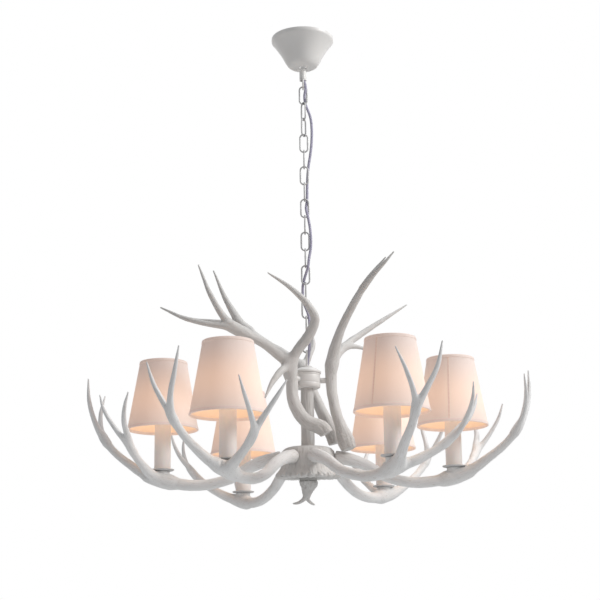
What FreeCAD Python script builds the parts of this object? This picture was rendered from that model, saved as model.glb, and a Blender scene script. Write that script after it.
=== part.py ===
"""White antler chandelier with six shaded candles, hung from the ceiling on a chain.

Millimetres, +Z up. The origin is the middle of the ceiling strap's upper face, where
the chandelier is screwed to the ceiling, so the whole piece hangs below it.
Heights called h are measured up from the lower edge of the shades.
"""
import math
import os

import FreeCAD
import Part

V = FreeCAD.Vector
UP = V(0, 0, 1)

# General
GAP = 0.3  # seat clearance between curved or loosely fitted pieces
THREAD = 0.08  # radial clearance of a screwed fit
OVER = 1.0  # how far a cut runs past the face that it opens

# Ceiling strap and its threaded nipple
STRAP_L = 104.0
STRAP_W = 24.0
STRAP_T = 2.5
SLOT_SPACING = 70.0
SLOT_L = 14.0
SLOT_W = 5.0
NIPPLE_R = 4.0
NIPPLE_BORE_R = 3.2

# Canopy and collar nut
CANOPY_R = 65.0
CANOPY_H = 65.0
CANOPY_WALL = 1.5
CANOPY_FOOT_R = 25.5
CANOPY_HOLE_R = NIPPLE_R + GAP
CANOPY_SKIRT = 5.0  # straight rim against the ceiling
COLLAR_R = 7.25
COLLAR_L = 26.0
COLLAR_NECK_R = 5.2
COLLAR_NECK_L = 8.0
COLLAR_CHAMFER = 0.8
COLLAR_THREAD_R = NIPPLE_R + THREAD
COLLAR_BORE_R = 6.0
NIPPLE_STOP = 16.0  # from the collar's lower end up to the end of the nipple
LOOP_SPIGOT_L = 6.0

# Chain
LINKS = 16
WIRE_R = 1.6
LINK_W = 19.0
LINK_PITCH = 35.3
LOOP_WIRE_R = 1.8
TWIST = (0, 120, 240, 0)  # how the first links stand turned about the chain
EYE_HALF_W = 7.9
EYE_RISE = 31.9  # from the eye's flange up to the middle of its wire
LOOP_HALF_W = 12.0
LOOP_HANG = 16.5  # from the first link's upper wire up to the collar
LOOP_CAP_T = 2.6
LOOP_BORE_R = 5.4

# Supply cord
CORD_R = 2.75
ARC_SHARE = 0.45  # share of the shorter run that each tangent arc takes

# Centre column: eye, lid, cup, tube and sleeve
EYE_FLANGE_R = 10.0
EYE_FLANGE_T = 3.0
EYE_STEM_R = 4.6
EYE_STEM_L = 26.0
EYE_BORE_R = 3.4
CUP_R = 26.0
CUP_TOP_H = 118.0
CUP_END_H = 88.0
CUP_WALL = 6.0
CUP_FLOOR = 8.0
LID_R = CUP_R + 1.0
LID_T = 12.0
LID_LIP = 4.0
TUBE_R = 6.5
TUBE_BORE_R = 4.9
SLEEVE_R = 12.9
FLUTES = 14
FLUTE_R = 1.7
FLUTE_SINK = 0.9  # how deep each flute's centre lies in the sleeve

# Hub drum with its burr rim, cover and finial
DRUM_R = 53.0
DRUM_TOP_H = -30.0
DRUM_END_H = -93.0
DRUM_WALL = 9.0
DRUM_ROOF = 6.0
RIBS = 36
RIB_R = 1.8
SHOULDER = 9.0  # rounded upper edge of the drum
BURR_R = DRUM_R + 4.5
BURR_BEADS = 26
BEAD_R = 4.0
BEAD_SPREAD = 0.25  # how much the beads differ in size
COVER_T = 3.0
COVER_LAP = 4.0
FINIAL_NECK_R = 18.0

# Lamps
RING_R = 286.0
SEAT_H = -81.0  # flat on each arm that carries a drip plate
DRIP_R = 23.3
DRIP_T = 4.0
DRIP_FOOT_R = 14.0
CANDLE_R = 16.0
CANDLE_WALL = 1.4
CANDLE_H = 100.0
BULB_R = 17.2
BULB_NECK_R = 8.6
BULB_L = 80.0
BULB_CAP_R = 6.9
BULB_CAP_L = 24.0
HOLDER_R = CANDLE_R - CANDLE_WALL - 1.2
HOLDER_H = 46.0
HOLDER_BORE_R = BULB_CAP_R + 0.4
POST_R = 4.0
SPIGOT_R = BULB_R + 0.5  # so that the shade's washer lifts off over the bulb
SPIGOT_H = 1.6
FLANGE_R = SPIGOT_R + 2.8
FLANGE_T = 2.0
SHADE_FOOT_R = 70.0
SHADE_TOP_R = 46.5
SHADE_H = 136.0
SHADE_WALL = 1.2
HEM_H = 6.0
HEM_T = 0.5
CARRIER_T = 1.8
CARRIER_W = 4.2
SPOKE_R = 1.2
SPOKES = 3

# Antlers
LIMB_PACE = 26.0  # farthest apart that the circles along a limb stand

# Arms: bearing, lift at the lamp, roll about the beam, bearing change of the root.
# Each is bolted up by hand, so none stands quite on the even sixty degrees.
ARMS = {
    "r": (0.0, 9.0, 2.7, 0.0),
    "br": (55.8, -2.0, -0.7, 0.0),
    "bl": (118.8, -9.0, 1.2, 0.0),
    "l": (179.5, 9.0, 1.6, 0.0),
    "fl": (239.7, -3.5, -1.5, -5.0),
    "fr": (302.0, -0.5, -2.5, -22.0),
}
ROLL_H = SEAT_H - 29.0
SWAY_SHARE = 0.7  # share of the lamp ring's radius where a swung root is back on its bearing
ROOT_R = DRUM_R - 1.0
ROOT_H = -52.0
SADDLE_H = 40.0
TENON_R = 8.0
TENON_IN = 6.0
TENON_OUT = 15.0
BOSS_FOOT_R = 13.0
BOSS_TOP_R = 15.0
BOSS_H = 18.0
SEAT_CUT_R = 19.0
SEAT_CUT_H = 20.0

# Heights that follow from the chain, from the lower eye up to the ceiling
LINK_R = LINK_W / 2 - WIRE_R
LINK_RISE = LINK_PITCH + 2 * WIRE_R + GAP
LOOP_RIDE = WIRE_R + GAP + LOOP_WIRE_R  # centre to centre where a link rides on a loop
LID_TOP_H = CUP_TOP_H + LID_T
EYE_FOOT_H = LID_TOP_H + EYE_FLANGE_T
EYE_TOP_H = EYE_FOOT_H + EYE_RISE
FIRST_LINK_H = EYE_TOP_H - LOOP_RIDE + LINK_RISE + (LINKS - 1) * LINK_PITCH
COLLAR_END_H = FIRST_LINK_H + LOOP_HANG
NIPPLE_END_H = COLLAR_END_H + NIPPLE_STOP
CANOPY_FOOT_H = COLLAR_END_H + COLLAR_L
DROP = CANOPY_FOOT_H + CANOPY_H  # ceiling down to the lower edge of the shades

os.makedirs("parts", exist_ok=True)
PARTS = {}


def keep(name, shape):
    """Store one named sub-part."""
    PARTS[name] = shape


def up(h):
    """Height above the shades' lower edge as a height in the part's frame."""
    return h - DROP


def rod(r, h0, h1, x=0.0, y=0.0):
    """Upright cylinder between two heights."""
    return Part.makeCylinder(r, h1 - h0, V(x, y, up(h0)), UP)


def turned(profile, x=0.0, y=0.0):
    """Solid of revolution about an upright axis from (radius, height) corners."""
    pts = [V(x + r, y, up(h)) for r, h in profile]
    face = Part.Face(Part.makePolygon(pts + pts[:1]))
    return face.revolve(V(x, y, 0), UP, 360)


def fused(shapes):
    """One solid from overlapping shapes, joined one after another."""
    whole = shapes[0]
    for shape in shapes[1:]:
        whole = whole.fuse(shape)
    return whole


def ring_at(p, tangent, side, r):
    """A circle of radius r square to the tangent, started on the given side."""
    z = V(tangent).normalize()
    x = side - z * side.dot(z)
    x.normalize()
    y = z.cross(x)
    circle = Part.Circle(V(0, 0, 0), UP, r).toShape()
    circle.Placement = FreeCAD.Placement(p, FreeCAD.Rotation(x, y, z, "ZXY"))
    return Part.Wire([circle]), x


def eased(points):
    """A limb's points with more between them, on one smooth curve through them all."""
    spans = [math.dist(a[:3], b[:3]) for a, b in zip(points, points[1:])]
    slopes = [[(v - u) / span for u, v in zip(a, b)] for a, b, span in zip(points, points[1:], spans)]
    pulls = [slopes[0]]
    for i in range(1, len(spans)):
        both = spans[i - 1] + spans[i]
        pulls.append([(u * spans[i] + v * spans[i - 1]) / both for u, v in zip(slopes[i - 1], slopes[i])])
    pulls.append(slopes[-1])
    full = []
    for i, span in enumerate(spans):
        count = max(1, math.ceil(span / LIMB_PACE))
        for k in range(count):
            t = k / count
            near = 2 * t ** 3 - 3 * t ** 2 + 1
            leave = (t ** 3 - 2 * t ** 2 + t) * span
            arrive = (t ** 3 - t ** 2) * span
            ends = zip(points[i], points[i + 1], pulls[i], pulls[i + 1])
            full.append([near * a + (1 - near) * b + leave * u + arrive * v for a, b, u, v in ends])
    full.append(points[-1])
    return full


def limb(points):
    """A tapering limb: a smooth skin over circles that stand square to its run."""
    points = eased(points)
    spots = [V(*p[:3]) for p in points]
    last = len(spots) - 1
    side = V(0.31, 0.17, 0.93)
    rings = []
    for i, p in enumerate(spots):
        tangent = spots[min(i + 1, last)] - spots[max(i - 1, 0)]
        wire, side = ring_at(p, tangent, side, points[i][3])
        rings.append(wire)
    return Part.makeLoft(rings, True, False)


# ---------------------------------------------------------------- ceiling fitting
# Pressed steel strap with two screw slots, and the threaded nipple welded in its middle.
strap = Part.makeBox(STRAP_L, STRAP_W, STRAP_T, V(-STRAP_L / 2, -STRAP_W / 2, -STRAP_T))
for sx in (-1, 1):
    cx = sx * SLOT_SPACING / 2
    flat = SLOT_L - SLOT_W
    deep = STRAP_T + 2 * OVER
    slot = Part.makeBox(flat, SLOT_W, deep, V(cx - flat / 2, -SLOT_W / 2, -STRAP_T - OVER))
    for end in (-1, 1):
        slot = slot.fuse(
            Part.makeCylinder(SLOT_W / 2, deep, V(cx + end * flat / 2, 0, -STRAP_T - OVER), UP)
        )
    strap = strap.cut(slot)
nipple = rod(NIPPLE_R, NIPPLE_END_H, DROP)
strap = fused([strap, nipple]).cut(rod(NIPPLE_BORE_R, NIPPLE_END_H - OVER, DROP + OVER))
keep("ceiling_strap", strap)

# Spun canopy: a bell that hides the strap, its rim against the ceiling.
bell = [
    V(CANOPY_R, 0, -CANOPY_SKIRT),
    V(CANOPY_R - 10, 0, -CANOPY_SKIRT - 8),
    V(CANOPY_R - 23, 0, -CANOPY_SKIRT - 23),
    V(CANOPY_FOOT_R + 7, 0, up(CANOPY_FOOT_H + 20)),
    V(CANOPY_FOOT_R, 0, up(CANOPY_FOOT_H + 3)),
]


def bell_solid(inset, rim_h, floor_h):
    """Solid bell with its curve drawn in by the inset, between two flat heights."""
    pts = [V(p.x - inset, 0, p.z) for p in bell]
    curve = Part.BSplineCurve()
    curve.interpolate(pts)
    skirt = Part.makePolygon([V(pts[0].x, 0, up(rim_h)), pts[0]])
    close = Part.makePolygon(
        [pts[-1], V(pts[-1].x - 2, 0, up(floor_h)), V(0, 0, up(floor_h)), V(0, 0, up(rim_h)),
         V(pts[0].x, 0, up(rim_h))]
    )
    wire = Part.Wire(skirt.Edges + [curve.toShape()] + close.Edges)
    return Part.Face(wire).revolve(V(0, 0, 0), UP, 360)


hollow = bell_solid(CANOPY_WALL, DROP + OVER, CANOPY_FOOT_H + CANOPY_WALL)
canopy = bell_solid(0, DROP, CANOPY_FOOT_H).cut(hollow)
canopy = canopy.cut(rod(CANOPY_HOLE_R, CANOPY_FOOT_H - OVER, CANOPY_FOOT_H + CANOPY_WALL + OVER))
keep("canopy", canopy)

# Collar nut: screws up the nipple and holds the canopy against the ceiling.
neck_h = CANOPY_FOOT_H - COLLAR_NECK_L
collar = turned(
    [(COLLAR_THREAD_R, CANOPY_FOOT_H), (COLLAR_NECK_R, CANOPY_FOOT_H), (COLLAR_NECK_R, neck_h),
     (COLLAR_R - COLLAR_CHAMFER, neck_h), (COLLAR_R, neck_h - COLLAR_CHAMFER),
     (COLLAR_R, COLLAR_END_H + COLLAR_CHAMFER), (COLLAR_R - COLLAR_CHAMFER, COLLAR_END_H),
     (COLLAR_BORE_R, COLLAR_END_H), (COLLAR_BORE_R, NIPPLE_END_H - 1.5), (COLLAR_THREAD_R, NIPPLE_END_H)]
)
keep("collar_nut", collar)


# Oval loop under the collar: the first link hangs in it and the cord comes out through it.
def oval(half_w, half_h, wire_r, centre_h):
    """Upright ring in the YZ plane: two half circles joined by short flats."""
    y = half_w - half_h
    z = up(centre_h)
    path = [
        Part.LineSegment(V(0, -y, z - half_h), V(0, y, z - half_h)).toShape(),
        Part.Arc(V(0, y, z - half_h), V(0, half_w, z), V(0, y, z + half_h)).toShape(),
        Part.LineSegment(V(0, y, z + half_h), V(0, -y, z + half_h)).toShape(),
        Part.Arc(V(0, -y, z + half_h), V(0, -half_w, z), V(0, -y, z - half_h)).toShape(),
    ]
    section = Part.Wire([Part.Circle(V(0, -y, z - half_h), V(0, 1, 0), wire_r).toShape()])
    return Part.Wire(path).makePipeShell([section], True, False)


loop_low = FIRST_LINK_H - LOOP_RIDE
loop_high = COLLAR_END_H - LOOP_WIRE_R
loop_half = (loop_high - loop_low) / 2
cap_h = COLLAR_END_H - LOOP_CAP_T
spigot_top = COLLAR_END_H + LOOP_SPIGOT_L
loop_cap = rod(COLLAR_R, cap_h, COLLAR_END_H)
spigot = rod(COLLAR_BORE_R - THREAD, COLLAR_END_H, spigot_top)
loop = fused([oval(LOOP_HALF_W, loop_half, LOOP_WIRE_R, loop_low + loop_half), loop_cap, spigot])
loop = loop.cut(rod(LOOP_BORE_R, cap_h - 3 * OVER, spigot_top + OVER))
keep("top_loop", loop)

# ---------------------------------------------------------------- chain
# Welded wire links, each a straight-sided oval that rides in the one above.
def stadium(rise, end_r, wire_r, top_h):
    """Closed wire link in the XZ plane, its upper wire centred at top_h."""
    z1 = up(top_h) - end_r
    z0 = up(top_h) - rise + end_r
    upper = Part.Arc(V(end_r, 0, z1), V(0, 0, z1 + end_r), V(-end_r, 0, z1)).toShape()
    left = Part.LineSegment(V(-end_r, 0, z1), V(-end_r, 0, z0)).toShape()
    lower = Part.Arc(V(-end_r, 0, z0), V(0, 0, z0 - end_r), V(end_r, 0, z0)).toShape()
    right = Part.LineSegment(V(end_r, 0, z0), V(end_r, 0, z1)).toShape()
    section = Part.Wire([Part.Circle(V(end_r, 0, z1), UP, wire_r).toShape()])
    return Part.Wire([upper, left, lower, right]).makePipeShell([section], True, False)


for n in range(LINKS):
    if n < len(TWIST):
        turn = TWIST[n]
    else:
        turn = 90 * (n - len(TWIST) + 1)
    link = stadium(LINK_RISE, LINK_R, WIRE_R, FIRST_LINK_H - n * LINK_PITCH)
    link.rotate(V(0, 0, 0), UP, turn)
    keep("link_%02d" % (n + 1), link)

# ---------------------------------------------------------------- centre column
# Lower eye: a hollow-stemmed stirrup that the last link carries, screwed into the tube.
leg_foot = up(EYE_FOOT_H - OVER)
leg_top = up(EYE_TOP_H - EYE_HALF_W)
eye_path = [
    Part.LineSegment(V(0, EYE_HALF_W, leg_foot), V(0, EYE_HALF_W, leg_top)).toShape(),
    Part.Arc(V(0, EYE_HALF_W, leg_top), V(0, 0, up(EYE_TOP_H)), V(0, -EYE_HALF_W, leg_top)).toShape(),
    Part.LineSegment(V(0, -EYE_HALF_W, leg_top), V(0, -EYE_HALF_W, leg_foot)).toShape(),
]
eye_section = Part.Wire([Part.Circle(V(0, EYE_HALF_W, leg_foot), UP, LOOP_WIRE_R).toShape()])
stirrup = Part.Wire(eye_path).makePipeShell([eye_section], True, False)
stem_end = LID_TOP_H - EYE_STEM_L
flange = rod(EYE_FLANGE_R, LID_TOP_H, EYE_FOOT_H)
stem = rod(EYE_STEM_R, stem_end, LID_TOP_H)
eye = fused([stirrup, flange, stem]).cut(rod(EYE_BORE_R, stem_end - OVER, EYE_FOOT_H + OVER))
keep("lower_eye", eye)

# Turned cup that the crown antlers bolt to, and its domed lid with a lip.
cup = rod(CUP_R, CUP_END_H, CUP_TOP_H)
cup = cup.cut(rod(CUP_R - CUP_WALL, CUP_END_H + CUP_FLOOR, CUP_TOP_H + OVER))
cup = cup.cut(rod(TUBE_R + GAP, CUP_END_H - OVER, CUP_TOP_H))
lid = turned(
    [(EYE_STEM_R + GAP, CUP_TOP_H), (LID_R, CUP_TOP_H), (LID_R, CUP_TOP_H + LID_LIP),
     (LID_R - 2, CUP_TOP_H + LID_LIP + 1), (LID_R - 5, LID_TOP_H - 3),
     (LID_R - 12, LID_TOP_H), (EYE_STEM_R + GAP, LID_TOP_H)]
)
keep("cup_lid", lid)

# Steel tube from the cup down through the hub, and the fluted sleeve around it.
tube_end = DRUM_END_H - COVER_T
tube = rod(TUBE_R, tube_end, CUP_TOP_H).cut(rod(TUBE_BORE_R, tube_end - OVER, CUP_TOP_H + OVER))
keep("column_tube", tube)
sleeve = rod(SLEEVE_R, DRUM_TOP_H, CUP_END_H)
for k in range(FLUTES):
    a = 2 * math.pi * k / FLUTES
    x = (SLEEVE_R - FLUTE_SINK) * math.cos(a)
    y = (SLEEVE_R - FLUTE_SINK) * math.sin(a)
    sleeve = sleeve.fuse(rod(FLUTE_R, DRUM_TOP_H, CUP_END_H, x, y))
sleeve = sleeve.cut(rod(TUBE_R + GAP, DRUM_TOP_H - OVER, CUP_END_H + OVER))
keep("column_sleeve", sleeve)

# ---------------------------------------------------------------- hub
# Hollow cast drum, ribbed outside, with a beaded burr round its lower edge.
drum = turned(
    [(0, DRUM_TOP_H), (DRUM_R - 14, DRUM_TOP_H), (DRUM_R - 4, DRUM_TOP_H - SHOULDER / 3),
     (DRUM_R, DRUM_TOP_H - SHOULDER), (DRUM_R, DRUM_END_H + 17), (BURR_R - 1, DRUM_END_H + 9),
     (BURR_R, DRUM_END_H + 4), (BURR_R - 3, DRUM_END_H), (0, DRUM_END_H)]
)
ribs = []
for k in range(RIBS):
    a = 2 * math.pi * (k + 0.5) / RIBS
    x = DRUM_R * math.cos(a)
    y = DRUM_R * math.sin(a)
    ribs.append(rod(RIB_R, DRUM_END_H + BEAD_R + 2, DRUM_TOP_H - SHOULDER, x, y))
beads = []
for k in range(BURR_BEADS):
    a = 2 * math.pi * k / BURR_BEADS
    size = BEAD_R * (1 + BEAD_SPREAD * math.sin(5 * a))
    middle = V(BURR_R * math.cos(a), BURR_R * math.sin(a), up(DRUM_END_H + BEAD_R + 1))
    beads.append(Part.makeSphere(size, middle))
drum = drum.fuse(ribs + beads)
drum = drum.cut(rod(DRUM_R - DRUM_WALL, DRUM_END_H - OVER, DRUM_TOP_H - DRUM_ROOF))
drum = drum.cut(rod(TUBE_R + GAP, DRUM_END_H - OVER, DRUM_TOP_H + OVER))
drum = drum.cut(rod(BURR_R + 2 * BEAD_R, DRUM_END_H - 2 * BEAD_R, DRUM_END_H))

# Cover plate that closes the drum, and the small branched finial under it.
cover = rod(DRUM_R - DRUM_WALL + COVER_LAP, tube_end, DRUM_END_H)
cover = cover.cut(rod(TUBE_R + GAP, tube_end - OVER, DRUM_END_H + OVER))
keep("hub_cover", cover)
finial_h = tube_end
finial_body = limb(
    [(0, 0, up(finial_h), FINIAL_NECK_R), (0, 0, up(finial_h - 5), 17.5), (-1, 0, up(finial_h - 12), 14.0),
     (-3, 0, up(finial_h - 23), 9.0), (-4, 0, up(finial_h - 32), 6.5)]
)
finial_left = limb(
    [(-3, 0, up(finial_h - 24), 6.0), (-9, -1, up(finial_h - 34), 4.4), (-19, -3, up(finial_h - 41), 3.0),
     (-31, -5, up(finial_h - 43), 1.3)]
)
finial_right = limb(
    [(-4, 0, up(finial_h - 24), 6.0), (-2, 1, up(finial_h - 34), 4.0), (4, 3, up(finial_h - 41), 2.8),
     (12, 5, up(finial_h - 45), 1.3)]
)
keep("finial", fused([finial_body, finial_left, finial_right]))


# ---------------------------------------------------------------- lower antlers
# One casting, six times: a beam that dips from the hub, carries the lamp on a flat and
# forks into a left-hand and a right-hand branch, each ending in two tines.
# Beam points are outward, left-hand, height and radius; the branches' points are outward
# from the lamp, left-hand, above the lamp's seat and radius.
ARM_SPAN = RING_R - ROOT_R
BEAM = (
    (ROOT_R, 0, ROOT_H, 14.5),
    (ROOT_R + 12, 0, ROOT_H - 1, 13.4),
    (ROOT_R + 0.23 * ARM_SPAN, 0, ROOT_H - 14, 11.5),
    (ROOT_R + 0.42 * ARM_SPAN, 0, SEAT_H - 11, 10.5),
    (ROOT_R + 0.63 * ARM_SPAN, 0, SEAT_H - 25, 10.3),
    (ROOT_R + 0.85 * ARM_SPAN, 0, SEAT_H - 25, 11.0),
    (RING_R + 2, 0, SEAT_H - 17, 12.5),
    (RING_R + 26, -4, SEAT_H - 10, 9.0),
)
RIGHT_LIMB = (
    (-14, 0, -21, 9.0), (24, -8, -11, 10.5), (66, -24, 15, 8.5), (99, -33, 41, 7.6),
    (123, -39, 69, 7.6), (139, -31, 99, 5.6), (150, -16, 139, 4.3), (152, -7, 185, 1.5),
)
RIGHT_TINE = ((116, -38, 61, 6.0), (129, -50, 87, 5.2), (135, -70, 123, 4.2), (130, -92, 167, 1.5))
LEFT_LIMB = (
    (-14, 0, -21, 9.0), (17, 20, -11, 10.0), (36, 52, 7, 8.0), (50, 80, 29, 7.2),
    (56, 98, 51, 6.4), (61, 120, 75, 5.0), (58, 138, 101, 3.8), (50, 151, 127, 1.5),
)
LEFT_TINE = (
    (48, 76, 25, 5.6), (64, 93, 45, 5.6), (86, 98, 73, 4.6), (104, 97, 103, 3.5), (113, 92, 132, 1.5),
)


def arm_spot(name, u, v, h):
    """Place a point of the common arm on the named one."""
    bearing, lift, roll, root = ARMS[name]
    s = math.sin(math.radians(roll))
    c = math.cos(math.radians(roll))
    v, h = c * v - s * (h - ROLL_H), s * v + c * (h - ROLL_H) + ROLL_H
    steady_u = RING_R * SWAY_SHARE
    near_root = max(0.0, min(1.0, (steady_u - u) / (steady_u - ROOT_R)))
    a = math.radians(bearing + root * near_root)
    return V(u * math.cos(a) - v * math.sin(a), u * math.sin(a) + v * math.cos(a), up(h + lift * u / RING_R))


def arm_limb(name, points, out=RING_R, seat=SEAT_H):
    """Limb through the arm's points, which are measured from the lamp unless told otherwise."""
    placed = []
    for u, v, h, r in points:
        p = arm_spot(name, out + u, v, seat + h)
        placed.append((p.x, p.y, p.z, r))
    return limb(placed)


def lamp_centre(name):
    """Where the named arm's lamp stands, and its lift."""
    bearing, lift, roll, root = ARMS[name]
    a = math.radians(bearing)
    return RING_R * math.cos(a), RING_R * math.sin(a), lift


for name in ARMS:
    limbs = [arm_limb(name, BEAM, 0, 0)]
    limbs += [arm_limb(name, run) for run in (RIGHT_LIMB, RIGHT_TINE, LEFT_LIMB, LEFT_TINE)]
    bearing, lift, roll, root = ARMS[name]
    a = math.radians(bearing + root)
    way = V(math.cos(a), math.sin(a), 0)
    foot = arm_spot(name, ROOT_R, 0, ROOT_H)
    tenon = Part.makeCylinder(TENON_R, TENON_IN + TENON_OUT, foot - way * TENON_IN, way)
    socket = Part.makeCylinder(TENON_R + GAP, 3 * DRUM_WALL, foot - way * 2 * DRUM_WALL, way)
    drum = drum.cut(socket)
    x, y, lift = lamp_centre(name)
    flat_h = SEAT_H + lift
    boss = Part.makeCone(BOSS_FOOT_R, BOSS_TOP_R, BOSS_H, V(x, y, up(flat_h - BOSS_H)), UP)
    antler = fused(limbs + [boss])
    antler = antler.cut(rod(DRUM_R + RIB_R + GAP, ROOT_H - SADDLE_H, ROOT_H + SADDLE_H))
    antler = antler.cut(rod(SEAT_CUT_R, flat_h, flat_h + SEAT_CUT_H, x, y))
    antler = fused([antler, tenon])
    keep("antler_" + name, antler)
keep("hub_drum", drum)

# ---------------------------------------------------------------- crown antlers
# Three more antlers stand round the column, each held off the cup by one bolt.
# Points are x, y, height and radius.
STANDOFF_L = 11.0
STANDOFF_R = 5.5
STANDOFF_ROOM = 12.0  # free ring round each standoff
PAD_R = 8.0
PAD_L = 12.0
STUD_R = 3.0
STUD_IN_CUP = 5.0
STUD_IN_CROWN = 7.0
CROWN_BOLT_H = 104.0
CROWN_R = CUP_R + STANDOFF_L
CROWN = {
    "front": (
        230.0,
        ((36, -37, -8, 12.5), (33, -37, -2, 13.5), (-4, -38, 18, 13.0), (-26, -39, 55, 12.0),
         (-31, -38, 104, 11.5), (-37, -46, 132, 12.0), (-60, -60, 150, 10.5), (-90, -77, 169, 9.5),
         (-137, -98, 190, 10.0), (-160, -106, 212, 7.2), (-184, -112, 252, 5.2), (-209, -115, 315, 1.6)),
        ((-120, -92, 184, 7.0), (-150, -104, 192, 7.2), (-186, -108, 197, 5.8), (-232, -109, 208, 4.6),
         (-284, -100, 234, 1.6)),
        ((-35, -42, 112, 9.0), (-22, -54, 148, 9.5), (8, -68, 188, 10.0), (17, -77, 212, 9.0),
         (4, -84, 238, 7.4), (-24, -94, 266, 5.2), (-75, -110, 299, 1.6)),
        ((-34, -46, 130, 7.0), (-52, -68, 110, 7.0), (-68, -88, 84, 5.0), (-81, -105, 52, 1.8)),
    ),
    "right": (
        0.0,
        ((80, -21, -36, 13.0), (77, -20, -26, 16.0), (66, -15, 6, 11.5), (53, -6, 55, 10.5),
         (48, 0, 104, 10.8), (51, -2, 146, 11.5), (66, -18, 196, 9.0), (96, -48, 252, 7.5),
         (126, -72, 296, 5.5), (158, -85, 334, 1.6)),
        ((112, -62, 276, 4.6), (134, -80, 300, 4.4), (156, -92, 322, 3.2), (174, -96, 342, 1.5)),
        ((50, 0, 134, 9.0), (62, 18, 160, 8.5), (82, 42, 186, 7.6), (110, 64, 210, 6.6),
         (156, 86, 244, 4.6), (212, 110, 284, 1.6)),
        ((72, 32, 178, 5.5), (96, 44, 182, 4.8), (132, 62, 176, 1.8)),
    ),
    "back": (
        85.0,
        ((54, 50, -16, 12.0), (50, 50, -2, 12.5), (22, 49, 66, 10.8), (5, 48, 104, 10.8),
         (-12, 56, 142, 11.5), (-44, 76, 172, 10.0), (-90, 96, 206, 9.0), (-136, 110, 248, 9.0),
         (-166, 118, 298, 6.0), (-195, 125, 368, 1.6)),
        ((-118, 104, 232, 6.4), (-152, 113, 248, 6.2), (-196, 120, 255, 5.0), (-234, 126, 261, 3.6),
         (-269, 130, 273, 1.5)),
        ((-8, 54, 132, 8.0), (4, 70, 168, 7.0), (14, 84, 196, 5.0), (12, 96, 222, 1.8)),
    ),
}
standoffs = []
for side, (bearing, *runs) in CROWN.items():
    placed = [limb([(x, y, up(h), r) for x, y, h, r in run]) for run in runs]
    a = math.radians(bearing)
    way = V(math.cos(a), math.sin(a), 0)
    axis_h = V(0, 0, up(CROWN_BOLT_H))
    pad = Part.makeCylinder(PAD_R, PAD_L, axis_h + way * (CROWN_R + GAP), way)
    bolt_hole = Part.makeCylinder(STUD_R + GAP, STUD_IN_CROWN + 2, axis_h + way * CROWN_R, way)
    clear = Part.makeCylinder(STANDOFF_R + STANDOFF_ROOM, CROWN_R + GAP, axis_h, way)
    crown = fused(placed + [pad]).cut(clear).cut(bolt_hole)
    keep("crown_" + side, crown)
    body = Part.makeCylinder(STANDOFF_R, STANDOFF_L - GAP, axis_h + way * (CUP_R + GAP), way)
    stud_l = STUD_IN_CUP + STANDOFF_L + STUD_IN_CROWN
    stud = Part.makeCylinder(STUD_R, stud_l, axis_h + way * (CUP_R - STUD_IN_CUP), way)
    standoffs.append(body.fuse(stud))
    hole_start = axis_h + way * (CUP_R - CUP_WALL - OVER)
    cup = cup.cut(Part.makeCylinder(STUD_R + GAP, CUP_WALL + 3 * OVER, hole_start, way))
keep("crown_standoffs", Part.makeCompound(standoffs))
keep("cup", cup)

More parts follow.
